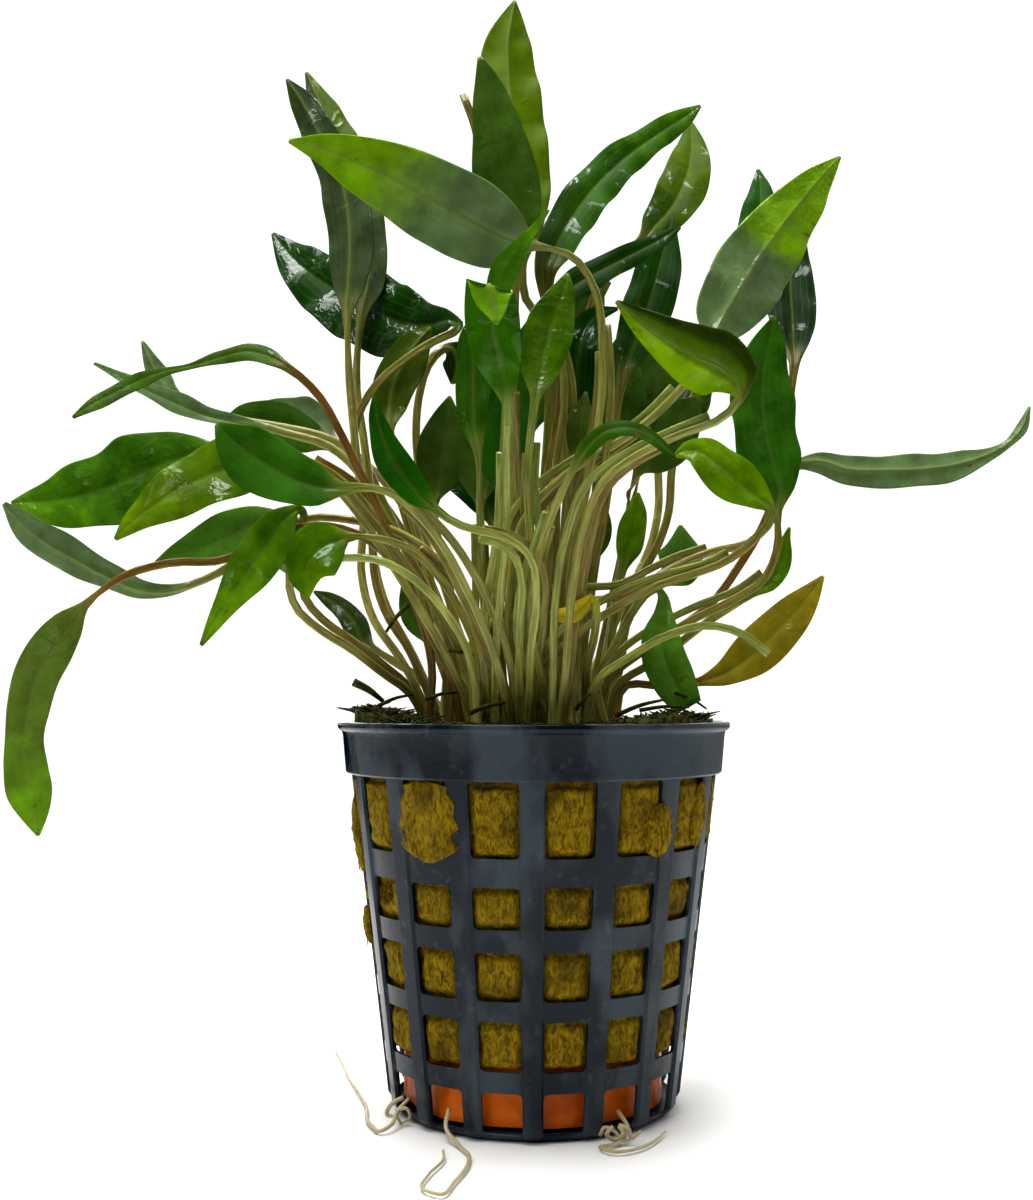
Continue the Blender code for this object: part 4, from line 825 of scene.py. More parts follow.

# %% [markdown]
# ## The leaves
# Each leaf stands in for its solid. Four numbers say how much painted backlight brightens
# its colour: at the foot on the left and the right, then at the tip on the left and the
# right, as seen with the tip pointing up. Below -1 that part gets painted shade, as if it
# were turned away from the light. Then come how bright the leaf is, how wet, how brown its
# stalk and how much it has yellowed.

# %% Leaves
LEAF_LOOKS = {
    # node: (glow), shade, wet, ruddy, warm
    "leaf_tall_left": ((0, 0, 0.6, 0), 0.4, 0, 0.5, 0),
    "leaf_tall_left_back": ((0, 0.1, 0, 1.2), 0.4, 0, 0.5, 0),
    "leaf_arching_grey": ((0, 0, 1, 1.1), 1.05, -0.1, 0.4, 0),
    "leaf_dark_left": ((0, 0, 0.1, 0.2), 0.55, 0.12, 0.6, 0),
    "leaf_olive_left": ((0.2, 0.1, 0.3, 0.2), 1, 0, 0.6, 0),
    "leaf_edge_left": ((0.2, 0.2, 0.4, 0.3), 0.75, 0, 1, 0.12),
    "leaf_blue_left": ((0, 0, 0, 0), 1.3, 0.05, 0.4, 0),
    "leaf_blue_left_back": ((0, 0, 0, 0), 1.1, 0, 0.4, 0),
    "leaf_round_left": ((0, 0, 0.1, 0.1), 0.85, 0, 0.7, 0.1),
    "leaf_round_left_back": ((0, 0, 0, 0), 0.65, 0, 0.6, 0),
    "leaf_broad_left": ((0.3, 0.3, 0.5, 0.4), 1.1, 0.08, 0.6, 0.04),
    "leaf_bright_left": ((0.5, 0.5, 0.7, 0.7), 0.65, 0.08, 0.4, 0),
    "leaf_dark_front_left": ((0, 0, 0.1, 0.1), 1.55, -0.02, 0.3, 0.05),
    "leaf_olive_lower_left": ((0.2, 0.1, 0.3, 0.1), 1.9, 0, 0.7, 0.12),
    "leaf_grey_lower_left": ((0, 0, 0.2, 0.3), 0.95, 0, 0.6, 0),
    "leaf_drooping": ((0.1, 0.1, 0.6, 0.6), 1.15, 0, 1, 0.3),
    "leaf_pointed_lower_left": ((0.3, 0.4, 0.5, 0.5), 1.1, 0, 0.5, 0),
    "leaf_short_lower_left": ((0.3, 0.4, 0.6, 0.4), 1, 0, 0.5, 0),
    "leaf_pale_stalk": ((0, 0, 0, 0), 0.9, 0, 0, 0),
    "leaf_small_dark_left": ((0, 0, 0, 0), 0.65, 0, 0.6, 0.12),
    "leaf_tallest": ((0.5, 0.6, 0.9, 1), 0.55, -0.05, 0.5, 0),
    "leaf_glossy_top": ((0, 0, 0, 0.1), 1.6, 0.2, 0.5, 0.17),
    "leaf_arching_right": ((0, 0, 0.6, 0.4), 0.8, 0, 0.7, 0),
    "leaf_hanging_right": ((0.1, 0.7, 1, 0.7), 0.42, 0, 0.6, 0),
    "leaf_dark_right": ((0, 0, 0.1, 0.1), 0.45, 0, 0.5, 0),
    "leaf_upright_right": ((0.1, 0.2, 0.2, 0.3), 0.6, 0, 0.7, 0),
    "leaf_grey_right": ((-1.1, -0.9, 2.4, 2.2), 1.2, 0.14, 0.4, 0),
    "leaf_behind_grey_right": ((0, 0, 0.3, 0.3), 0.9, 0, 0.6, 0),
    "leaf_far_right_back": ((0, 0, 0, 0.5), 0.4, 0, 1, 0),
    "leaf_broad_right": ((0.1, 0.1, 0.1, 0.1), 1.4, 0.03, 0.6, 0.05),
    "leaf_folded_right": ((2.9, -3.4, 2.9, -3), 1.1, 0.1, 0.4, 0),
    "leaf_centre_folded": ((0.2, 0.1, 0.2, 0.2), 1.2, 0.1, 0.1, 0),
    "leaf_centre_bright": ((0.4, 0.4, 0.4, 0.4), 0.9, 0.14, 0.1, 0),
    "leaf_small_top": ((0.2, 0.2, 0.5, 0.5), 1.6, 0, 0.5, 0.04),
    "leaf_beside_centre": ((0.2, 0.2, 0.3, 0.2), 0.7, 0, 0.3, 0),
    "leaf_behind_centre": ((0, 0, 0.1, 0.1), 2.8, 0.12, 0.4, 0.03),
    "leaf_slim_front_left": ((0, 0.1, 0.1, 0.1), 1.3, 0.04, 0.2, 0),
    "leaf_round_dark": ((0, 0, 0, 0.1), 1.3, 0.1, 0.4, 0),
    "leaf_long_right": ((0, 0, 0.2, 0.2), 1, 0, 0.8, 0),
    "leaf_bright_right": ((0.5, 0.5, 0.6, 0.6), 0.95, 0, 0.5, 0),
    "leaf_small_arch": ((0.1, 0.1, 0.3, 0.2), 0.7, 0, 0.4, 0),
    "leaf_in_pot_right": ((0.1, 0.1, 0.1, 0.1), 2.4, 0.05, 0.3, 0.13),
    "leaf_yellow_right": ((0.3, 0.2, 0.2, 0.4), 1, 0, 1, 0),
    "leaf_triangle_right": ((0.1, 0.1, 0.3, 0.3), 1.7, 0, 0.3, 0.08),
    "leaf_slim_right": ((0.4, 0.4, 0.6, 0.5), 1.15, 0, 0.3, 0),
    "leaf_old_yellow": ((0.3, 0.3, 0.4, 0.4), 2.1, 0, 0.3, 0),
    "leaf_low_bright": ((0.4, 0.4, 0.6, 0.6), 1.2, 0, 0.2, 0),
    "leaf_small_right": ((0, 0, 0.1, 0.1), 1.1, 0, 0.6, 0),
    "leaf_brown_centre": ((0, 0, 0, 0), 0.9, 0, 0.8, 0.1),
    "leaf_back_left": ((0.1, 0.1, 0.2, 0.2), 0.8, 0, 0.5, 0),
    "leaf_back_right": ((0.1, 0.1, 0.2, 0.2), 1, 0, 0.5, 0),
    "stalk_cut_top": ((0, 0, 0, 0), 0.5, 0, 0.7, 0),
    "stalk_cut_right": ((0, 0, 0, 0), 1.1, 0, 0, 0),
}
STALK_FINISH = "fresh"
# The folded flap's four numbers are its painted backlight, as in the looks above.
FOLD_AT = {"leaf_centre_folded": (11, (0.9, 0.9, 0.9, 0.9))}  # section where the tip folds over
slots = {part["node"]: part["material_slot"] for part in frame["record"]["subparts"]}


def leaf_facts(shape, look, seed, across, rib, above):
    """The numbers that the finish reads, for every point of a leaf."""
    (foot_left, foot_right, tip_left, tip_right), shade, wet, ruddy, warm = look
    run = shape.run[:, None]
    along = eased(run, shape.foot, shape.length)
    leftness = (across + 1) / 2
    low = foot_right + (foot_left - foot_right) * leftness
    high = tip_right + (tip_left - tip_right) * leftness
    even = np.ones_like(across)
    return {
        "across": across, "side": across * shape.width / 2, "run": run * even,
        "opened": shape.opened * even, "above": above, "rib": rib * shape.opened,
        # glow is painted light: backlight above 0, painted shade below -1.
        "glow": low + (high - low) * along,
        "stem": np.clip(run / max(shape.foot, 0.1), 0, 1) * even,
        "ruddy": ruddy * even, "shade": shade * even, "wet": wet * even,
        "warm": warm * even, "seed": seed * 7.3 * even,
    }


def leaf_parts(sections, look, seed, fold=None):
    """The skins of a leaf with their facts: one, or two where its tip is folded over."""
    if fold is None:
        shape = LeafShape(sections, WAVE, seed)
        skin = shape.skin()
        return [(skin[0], leaf_facts(shape, look, seed, *skin[1:]))]
    at, flap_glow = fold
    lower = leaf_parts(sections[:at + 1], look, seed)
    flap = LeafShape(sections[at:], 0.0, seed, sunk=False)
    skin = flap.skin()
    return lower + [(skin[0], leaf_facts(flap, (flap_glow, *look[1:]), seed, *skin[1:]))]


def grow(node, look, seed):
    """The finished leaf that stands in for this solid."""
    parts = leaf_parts(leaf_sections(node), look, seed, FOLD_AT.get(node))
    slot = slots[node]
    tone = slot.removeprefix("leaf_") if slot.startswith("leaf_") else STALK_FINISH
    return gather("grown_" + node, parts, leaf_finishes[tone], [node])


leaves = [grow(node, look, number + 1) for number, (node, look) in enumerate(LEAF_LOOKS.items())]
print("leaves and stalks", len(leaves), "faces", sum(len(leaf.data.polygons) for leaf in leaves))

# %% [markdown]
# The plant has more stalks than the solids show: they stand in tight bundles, and behind the
# front leaves it is full of darker ones. A spare stalk runs beside one of the leaves' own
# stalks, a little to its side and behind it, and ends behind that leaf. The dark leaves at
# the back are drawn as sections too, from points on the line of sight, so that the same
# builder grows them.

# %% Spare stalks and hidden leaves
STALK_W = 1.55
NO_GLOW = (0, 0, 0, 0)
LEAF_STOPS = (0, 0.12, 0.3, 0.55, 0.8, 1)  # along a hidden leaf's blade
LEAF_WIDTHS = (0.25, 0.6, 0.95, 1, 0.6, 0.06)  # its width at those stops, as a share
# leaf, how far to the left of its stalk the spare stalk runs and how far behind it, its length
# as a share of that stalk, and how brown it is
SPARE_STALKS = (
    ("leaf_tallest", -2.0, 1.5, 0.9, 0.4), ("leaf_glossy_top", 1.8, 1.5, 0.86, 0.2),
    ("leaf_arching_grey", -1.9, 1.8, 0.8, 0.5), ("leaf_grey_right", 2.0, 1.4, 0.96, 0),
    ("leaf_folded_right", 2.0, 1.5, 0.97, 0), ("leaf_bright_right", 1.9, 1.5, 0.9, 0.1),
    ("leaf_broad_left", -2.0, 1.6, 0.85, 0.8), ("leaf_bright_left", -1.9, 1.6, 0.9, 0.6),
    ("leaf_dark_front_left", -1.9, 1.8, 0.85, 0.4), ("leaf_slim_front_left", 1.8, 1.7, 0.8, 0.1),
    ("leaf_long_right", 2.0, 1.5, 0.7, 0.3), ("leaf_upright_right", 1.9, 1.6, 0.95, 0.2),
    ("leaf_hanging_right", -1.9, 1.5, 0.85, 0.1), ("leaf_centre_bright", -1.9, 1.8, 0.95, 0),
    ("leaf_centre_folded", 1.8, 2.2, 0.95, 0.1), ("leaf_arching_right", 1.8, 1.7, 0.9, 0.3),
    ("leaf_beside_centre", 1.8, 1.5, 0.95, 0.2), ("leaf_short_lower_left", -1.8, 1.5, 0.8, 0.9),
    ("leaf_small_arch", 1.8, 1.6, 0.9, 0), ("leaf_olive_left", 1.8, 1.6, 0.9, 0.7),
    ("leaf_broad_right", 1.9, 1.6, 0.85, 0.1), ("leaf_tall_left", -1.8, 1.6, 0.6, 0.9),
    ("leaf_tallest", 1.0, 4.0, 0.8, 0.7), ("leaf_glossy_top", -1.0, 4.2, 0.8, 0.6),
    ("leaf_grey_right", -0.8, 4.0, 0.85, 0.7), ("leaf_centre_bright", 0.9, 4.5, 0.9, 0.6),
    ("leaf_small_arch", -1.0, 3.8, 0.85, 0.5), ("leaf_folded_right", -1.0, 3.6, 0.8, 0.7),
    ("leaf_slim_front_left", -1.2, 4.4, 0.8, 0.6), ("leaf_hanging_right", 0.9, 3.9, 0.75, 0.7),
    ("leaf_arching_grey", 0.8, 4.2, 0.75, 0.6), ("leaf_dark_front_left", 0.9, 4.2, 0.8, 0.8),
    ("leaf_beside_centre", -0.9, 4.0, 0.9, 0.6), ("leaf_arching_right", -0.9, 4.1, 0.8, 0.7),
)
# root (x, y), foot and tip as seen (across, up), depth of foot and tip, width, how brown
HIDDEN_LEAVES = (
    ((-4, 8), (-7.6, 83.8), (-7.9, 101), (12, 15), 8.5, 0.5),
    ((2, 9), (3.4, 86), (8.4, 102), (11, 14), 8.0, 0.9),
    ((6, 8), (10.9, 88), (13, 108.5), (13, 15), 9.0, 0.4),
    ((9, 6), (15.1, 88), (24, 99), (12, 13), 8.5, 0.5),
    ((0, 10), (-0.5, 94), (0.9, 112), (16, 18), 9.0, 0.4),
    ((4, 5), (8, 75), (9.6, 84.5), (8, 10), 5.0, 0.6),
    ((3, 11), (3.8, 104), (9.2, 119), (16, 18), 8.0, 0.4),
    ((-9, 7), (-14, 84), (-12, 99), (12, 14), 7.5, 0.6),
    ((8, 11), (17, 96), (19, 112), (16, 18), 8.0, 0.5),
    ((-6, 4), (-15.5, 64), (-18.8, 71.5), (4, 6), 3.6, 0.4),
)


def seen(across, up, depth):
    """The point that lies this far behind the pot's axis on the line of sight to a mark."""
    mark = np.array((across, 0.0, up))
    return EYE + (mark - EYE) * (depth - EYE[1]) / -EYE[1]


def sections_along(path, widths, thick):
    """Four-cornered sections along a path, their upper side turned to the eye."""
    ahead = unit(np.gradient(path, axis=0))
    left = unit(np.cross(EYE - path, ahead)) * widths[:, None] / -2
    up = unit(np.cross(ahead, left)) * thick[:, None]
    up *= np.sign(np.sum(up * (EYE - path), axis=1))[:, None]
    top, bottom = path + up * TOP_SHARE, path - up * (1 - TOP_SHARE)
    return np.stack([path + left, path - left, top, bottom], axis=1)


def hidden_leaf(root, foot, tip, depths, width):
    """Sections of a dark leaf: three on its bowed stalk, and six on its flat blade."""
    start = np.array((*root, CUT_Z))
    low, high = seen(*foot, depths[0]), seen(*tip, depths[1])
    stalk = [start + (low - start) * t + (0, 3 * t * (1 - t), 0) for t in (0, 0.33, 0.66)]
    blade = [low + (high - low) * t for t in LEAF_STOPS]
    widths = [STALK_W] * 3 + [width * share for share in LEAF_WIDTHS]
    thick = [STALK_T] * 3 + [0.94] + [BLADE_T] * 5
    return sections_along(np.array(stalk + blade), np.array(widths), np.array(thick))


def spare_stalk(node, left_by, behind_by, share):
    """Sections that follow a leaf's stalk, bowed away from it in between."""
    sections = leaf_sections(node)
    thick = np.linalg.norm(sections[:, 2] - sections[:, 3], axis=1)
    feet = int(np.argmax(thick < STALK_T - 0.05))
    middle = sections[:feet].mean(1)
    sideways = unit(sections[:feet, 0] - sections[:feet, 1])
    t = np.linspace(0, 1, feet)[:, None]
    spread = np.sin(np.pi * np.clip(0.15 + t, 0, 0.85))
    path = middle + spread * (left_by * sideways + np.array((0, behind_by, 0)))
    stops = np.linspace(0, 1, feet)
    path = curve_through(stops, path, np.linspace(0, share, feet))
    path[0, 2] = CUT_Z
    even = np.ones(feet)
    return sections_along(path, 0.9 * STALK_W * even, STALK_T * even)


spares = []
for number, (*form, brown) in enumerate(SPARE_STALKS):
    look = (NO_GLOW, 1.0, 0.0, brown, 0.0)
    spares += leaf_parts(spare_stalk(*form), look, 100 + number)
gather("spare_stalks", spares, leaf_finishes[STALK_FINISH])
hidden = []
for number, (*form, brown) in enumerate(HIDDEN_LEAVES):
    look = (NO_GLOW, 1.9, 0.1, brown, 0.25 * brown)
    hidden += leaf_parts(hidden_leaf(*form), look, 200 + number)
gather("hidden_leaves", hidden, leaf_finishes["dark"])
print("spare stalks", len(spares), "hidden leaves", len(hidden))

# %% [markdown]
# ## The rock wool
# The roots sit in a plug of mineral wool, spun from molten rock and stained ochre by the
# water. It was pressed into the pot, so it bulges softly into the windows. Its skin here is
# a plug pushed outwards in each window and roughened by noise, and loose fibres lie on
# top. Real fibres are a few thousandths of a millimetre thick, far too fine to draw, so
# these are strands of up to 0.1 mm that show their matted, mostly upright run.

# %% Wool finish
WOOL_LIGHT, WOOL_DARK, WOOL_WET = 0x90780E, 0x544206, 0x3A2E06


def spun_mineral_wool(tree):
    """Matt, wet fibre: roughness 0.8, streaked along the fibres."""
    place = add_node(tree, "TexCoord").outputs["Object"]
    pulled = add_node(tree, "Mapping", {"Scale": (1.0, 1.0, 0.4)}, {"Vector": place})
    fibres = add_node(tree, "TexNoise", {"Scale": per_mm(0.5), "Detail": 5.0,
                                         "Distortion": 1.2}, {"Vector": pulled})
    patches = add_node(tree, "TexNoise", {"Scale": per_mm(5), "Detail": 3.0}, {"Vector": place})
    streaks = add_node(tree, "MapRange", {"From Min": 0.35, "From Max": 0.62},
                       {"Value": fibres})
    dry = add_node(tree, "Mix", {"data_type": "RGBA", COLOUR_A: linear(WOOL_DARK),
                                 COLOUR_B: linear(WOOL_LIGHT)}, {0: streaks})
    damp = add_node(tree, "MapRange", {"From Min": 0.5, "From Max": 0.68, "To Max": 0.6},
                    {"Value": patches})
    colour = add_node(tree, "Mix", {"data_type": "RGBA", COLOUR_B: linear(WOOL_WET)},
                      {0: damp, COLOUR_A: dry})
    relief = add_node(tree, "Bump", {"Strength": 0.5, "Distance": 0.25 * MM},
                      {"Height": fibres})
    return add_node(tree, "BsdfPrincipled", {"Roughness": 0.8, "Specular IOR Level": 0.12},
                    {"Base Color": colour, "Normal": relief})


wool_finish = new_material("spun_mineral_wool", spun_mineral_wool)
print("finish", wool_finish.name)

# %% [markdown]
# How far the wool swells depends on where it is: fully in the middle of a window, not at all
# behind a rib or a hoop. The top row of windows is the loosest, and there it swells most.

# %% Wool mesh
WOOL_GAP = 0.25  # mm between the wool and the inside of the pot
WOOL_SWELL = 0.75
WOOL_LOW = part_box("rock_wool")[0].z / MM
WOOL_SHOULDER, WOOL_FOOT_R = 9.4, 17.1  # below this height the plug is narrower
WOOL_STEPS = (170, 352)  # up and around
HOLE_TURN, HOLE_Z, HOLE_R, HOLE_DEEP = math.radians(-60), 30.4, 2.0, 3.0


def window_depth(z, angle):
    """1 in the middle of a window, falling to 0 at its edges."""
    place = ((angle - RIB_TURN) / SECTOR) % 1.0 * 2 - 1
    sideways = 1 - eased(abs(place), WINDOW_HALF * 0.72, WINDOW_HALF)
    inside = max(min(z - low, high - z) for low, high in WINDOW_ROWS)
    return float(sideways * eased(inside, 0, 1.3))


def hole_depth(z, angle):
    """How far the wool is torn out: one dark hole behind a window on the left."""
    away = math.hypot((angle - HOLE_TURN) * WOOL_FOOT_R, z - HOLE_Z)
    return HOLE_DEEP * float(1 - eased(away, 0.4, HOLE_R))


def wool_radius(z, angle):
    if z < WOOL_SHOULDER:
        return WOOL_FOOT_R
    base = body_radius(min(z, COLLAR_Z)) - WALL - WOOL_GAP
    looser = 1.35 if z > WINDOW_ROWS[-1][0] else 1.0
    x, y, _ = around(base, z, angle)
    lumps = 0.3 * clumps(x, y, z, 4.0) + 0.16 * clumps(x, y, z * 0.5, 0.9)
    swell = WOOL_SWELL * looser * window_depth(z, angle)
    return base + swell + lumps - 0.2 - hole_depth(z, angle)


wool_points, wool_rows = [], np.linspace(WOOL_LOW, 49.5, WOOL_STEPS[0])
wool_turns = np.linspace(-math.pi, math.pi, WOOL_STEPS[1], endpoint=False)
for z in wool_rows:
    wool_points += [around(wool_radius(z, turn), z, turn) for turn in wool_turns]
wool_faces = grid_faces(*WOOL_STEPS)
wool_faces.append(list(range(WOOL_STEPS[1] - 1, -1, -1)))
top_row = (WOOL_STEPS[0] - 1) * WOOL_STEPS[1]
wool_faces.append([top_row + i for i in range(WOOL_STEPS[1])])
add_piece("wool_plug", wool_points, wool_faces, wool_finish, ["rock_wool"])
print("wool faces", len(wool_faces))

# %% [markdown]
# ## Loose fibres and flakes of wool
# Fibres, roots, twigs and moss fronds are all smooth round tubes along a path. One function
# draws them. It carries a pair of side directions along the path, so a tube never twists. In
# a few windows a ragged flake of wool has come out and lies over the ribs: a low dome with
# an uneven edge, and short fibres that stick out of it.

# %% Strands and flakes
STRANDS = 1100
# where each flake lies: its turn from the front, its height and its half width and height
FLAKES = ((-33.5, 40.2, 4.1, 5.2), (39.5, 39.0, 2.3, 3.4), (-80, 37.0, 2.2, 5.0),
          (-84, 24.5, 1.4, 2.6), (60, 40.5, 1.6, 4.2))
FLAKE_FIBRES = 22  # on each flake, for every mm of its half width


def tube(path, radii, sides=8, step=0.8):
    """Rings of points of a tapering round strand along a smooth curve through the path."""
    path = np.array(path, float)
    radii = np.array(radii, float).reshape(-1, 1)
    stops = np.concatenate([[0], np.cumsum(np.linalg.norm(np.diff(path, axis=0), axis=1))])
    places = np.linspace(0, stops[-1], 2 + int(stops[-1] / step))
    line = curve_through(stops, path, places)
    thick = np.interp(places, np.linspace(0, stops[-1], len(radii)), radii[:, 0])
    ahead = unit(np.gradient(line, axis=0))
    side = np.cross(ahead[0], (0.3, 0.2, 0.9))
    turns = np.linspace(0, 2 * np.pi, sides, endpoint=False)
    rings = []
    for centre, forward, radius in zip(line, ahead, thick):
        side = unit(side - forward * np.dot(side, forward))
        other = np.cross(forward, side)
        rings.append([centre + radius * (side * math.cos(t) + other * math.sin(t))
                      for t in turns])
    return np.array(rings)


def wool_strand(chance):
    """A loose fibre that lies on the wool in one of the windows."""
    low, high = chance.choice(WINDOW_ROWS[1:])
    sector = chance.randrange(RIBS)
    z = chance.uniform(low + 0.6, high - 0.6)
    angle = RIB_TURN + SECTOR * (sector + 0.5 + chance.uniform(-0.3, 0.3))
    length = chance.uniform(1.0, 2.6)
    tilt = chance.gauss(0, 0.5)
    path = []
    for t in (-0.5, 0, 0.5):
        turn = angle + t * length * math.sin(tilt) / 22 + chance.gauss(0, 0.006)
        height = min(max(z + t * length * math.cos(tilt), low + 0.2), high - 0.2)
        lift = 0.12 if t == 0 else -0.05
        path.append(around(wool_radius(height, turn) + lift, height, turn))
    return tube(path, (0.03, 0.05, 0.03), sides=4, step=0.5)


def flake(turn, z, half_wide, half_high):
    """A ragged flake of wool that has come out through a window and lies over the ribs."""
    rings = []
    for up in np.linspace(-1, 1, 15):
        height = z + up * half_high
        ragged = 1 + 0.4 * clumps(turn * 20, 0, height, 1.3)
        half = half_wide * (1.02 - up ** 4) ** 0.5 * ragged
        outer, inner = [], []
        for side in np.linspace(-1, 1, 13):
            at = turn + side * half / body_radius(height)
            dome = (1.02 - side * side) * (1.02 - up * up)
            lump = 0.25 * clumps(at * 25, 7, height, 0.8)
            outer.append(around(body_radius(height) + 0.12 + 0.6 * dome + lump * dome, height, at))
            inner.append(around(body_radius(height) - 0.5, height, at))
        rings.append(outer + inner[::-1])
    return np.array(rings)


def flake_fibre(turn, z, half_wide, half_high, chance):
    """A fibre that starts on a flake and sticks out over its edge."""
    angle, share = chance.uniform(0, 2 * math.pi), math.sqrt(chance.uniform(0.1, 0.9))
    start_z = z + half_high * share * math.sin(angle)
    start = turn + half_wide * share * math.cos(angle) / body_radius(z)
    length, heading = chance.uniform(0.5, 1.3), chance.gauss(-math.pi / 2, 1.0)
    path = []
    for t in (0, 0.5, 1):
        height = start_z + t * length * math.sin(heading) - 0.4 * t * t
        at = start + t * length * math.cos(heading) / body_radius(z)
        path.append(around(body_radius(height) + 0.25 + 0.5 * t * (1 - share * t), height, at))
    return tube(path, (0.05, 0.05, 0.03), sides=4, step=0.5)


chance = random.Random(11)
skins = [wool_strand(chance) for _ in range(STRANDS)]
for turn, *form in FLAKES:
    skins.append(flake(math.radians(turn), *form))
    for _ in range(int(FLAKE_FIBRES * form[1])):
        skins.append(flake_fibre(math.radians(turn), *form, chance))
loose_wool = gather("wool_strands", bare(skins), wool_finish)
print("strands", len(skins), "faces", len(loose_wool.data.polygons))

# %% [markdown]
# ## The orange strip
# A strip of thin orange plastic is rolled up round the inside of the pot's foot, below the
# wool, and shows through the lowest windows. It was rolled from flat film, so it has long
# soft waves. It is glossy and bright, and only a shallow ripple breaks the reflections.

# %% Strip
STRIP_ORANGE, STRIP_DEEP = 0xF07800, 0xB04A00
STRIP_R, STRIP_THICK, STRIP_ARC, STRIP_STEPS = 17.75, 0.4, math.radians(340), 170


def rolled_film(tree):
    """Bright plastic film: IOR 1.5, roughness 0.3."""
    place = add_node(tree, "TexCoord").outputs["Object"]
    stain = add_node(tree, "TexNoise", {"Scale": per_mm(7), "Detail": 4.0}, {"Vector": place})
    dirt = add_node(tree, "MapRange", {"From Min": 0.45, "From Max": 0.7}, {"Value": stain})
    colour = add_node(tree, "Mix", {"data_type": "RGBA", COLOUR_A: linear(STRIP_ORANGE),
                                    COLOUR_B: linear(STRIP_DEEP)}, {0: dirt})
    relief = add_node(tree, "Bump", {"Strength": 0.2, "Distance": 0.2 * MM}, {"Height": stain})
    return add_node(tree, "BsdfPrincipled",
                    {"Roughness": 0.3, "IOR": 1.5, "Specular IOR Level": 0.15},
                    {"Base Color": colour, "Normal": relief})


def strip_section(turn, low, high):
    """One upright section of the strip: up its outer side and down its inner one."""
    outer = STRIP_R + 0.18 * math.sin(turn * 7) + 0.1 * math.sin(turn * 17 + 1)
    heights = (low, (low + high) / 2, high)
    section = [around(outer, z, turn) for z in heights]
    return section + [around(outer - STRIP_THICK, z, turn) for z in reversed(heights)]


strip_low, strip_high = (corner.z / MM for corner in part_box("orange_strip"))
strip_turns = np.linspace(-STRIP_ARC / 2, STRIP_ARC / 2, STRIP_STEPS)
strip = np.array([strip_section(turn, strip_low, strip_high) for turn in strip_turns])
add_piece("rolled_strip", strip.reshape(-1, 3), close_skin(strip),
          new_material("rolled_film", rolled_film), ["orange_strip"], sharp=40)
print("strip height", round(strip_high - strip_low, 1))

# %% [markdown]
# ## Moss and litter
# The wool's top carries a cushion of dark moss, heaped against the rim. Wet moss is soft and
# matt, green in some patches and brown in others, and nearly black in the shade between its
# fronds. That is one broad noise for the patches and a finer one for the painted shade in the
# gaps.

# %% Moss finish
MOSS_GREEN, MOSS_BROWN, MOSS_PAINTED_SHADE = 0x3E4E12, 0x52461A, 0x1A2008


def wet_moss(tree):
    """Soft damp tissue: roughness 0.6, green and brown in patches, with painted shade in the gaps.
    """
    place = add_node(tree, "TexCoord").outputs["Object"]
    patches = add_node(tree, "TexNoise", {"Scale": per_mm(2.6), "Detail": 4.0},
                       {"Vector": place})
    kind = add_node(tree, "MapRange", {"From Min": 0.4, "From Max": 0.6}, {"Value": patches})
    mixed = add_node(tree, "Mix", {"data_type": "RGBA", COLOUR_A: linear(MOSS_GREEN),
                                   COLOUR_B: linear(MOSS_BROWN)}, {0: kind})
    fine = add_node(tree, "TexNoise", {"Scale": per_mm(0.6), "Detail": 3.0}, {"Vector": place})
    # Painted shade: the finer noise darkens the colour in the gaps between the fronds.
    painted_gap_shade = add_node(tree, "MapRange", {"From Min": 0.35, "From Max": 0.6, "To Min": 0.9,
                                         "To Max": 0.0}, {"Value": fine})
    colour = add_node(tree, "Mix", {"data_type": "RGBA", COLOUR_B: linear(MOSS_PAINTED_SHADE)},
                      {0: painted_gap_shade, COLOUR_A: mixed})
    return add_node(tree, "BsdfPrincipled", {"Roughness": 0.6, "Specular IOR Level": 0.08},
                    {"Base Color": colour})


moss_finish = new_material("wet_moss", wet_moss)
print("finish", moss_finish.name)

# %% [markdown]
# The crust is a sheet over the solid, found by looking straight down on it and roughened by
# noise. Small tapering fronds stand on it, and longer ones at the far left and right.

# %% Moss mesh
MOSS_R, MOSS_EDGE_Z = 25.2, 50.0
BESIDE_Z = 51.0  # height of the ground where the solid doesn't reach
CRUST_STEPS = (34, 150)  # outwards and around, with the skirt as the last row
FRONDS = 3600
TALL_LEFT, TALL_RIGHT = -15, 19  # further out than these the fronds are longer
moss_solid = frame["nodes"]["moss_litter"].data
moss_tree = BVHTree.FromPolygons([vertex.co for vertex in moss_solid.vertices],
                                 [polygon.vertices for polygon in moss_solid.polygons])


def moss_height(x, y):
    """Height in mm of the solid's top at a place, or of the ground beside it."""
    hit = moss_tree.ray_cast(Vector((x, y, 80)) * MM, Vector((0, 0, -1)))[0]
    return hit.z / MM if hit else BESIDE_Z


def crust_height(x, y):
    return moss_height(x, y) + 0.35 * clumps(x, y, 3, 2.2) + 0.2 * clumps(x, y, 9, 0.8) - 0.2


def crust_points():
    """The middle, the rings around it, and last a skirt that goes down inside the rim."""
    points = [(0, 0, crust_height(0, 0))]
    turns = np.linspace(0, 2 * math.pi, CRUST_STEPS[1], endpoint=False)
    for radius in np.linspace(0.8, MOSS_R, CRUST_STEPS[0] - 1):
        for turn in turns:
            x, y, _ = around(radius, 0, turn)
            points.append((x, y, crust_height(x * 0.995, y * 0.995)))
    return points + [around(MOSS_R - 0.5, MOSS_EDGE_Z, turn) for turn in turns]


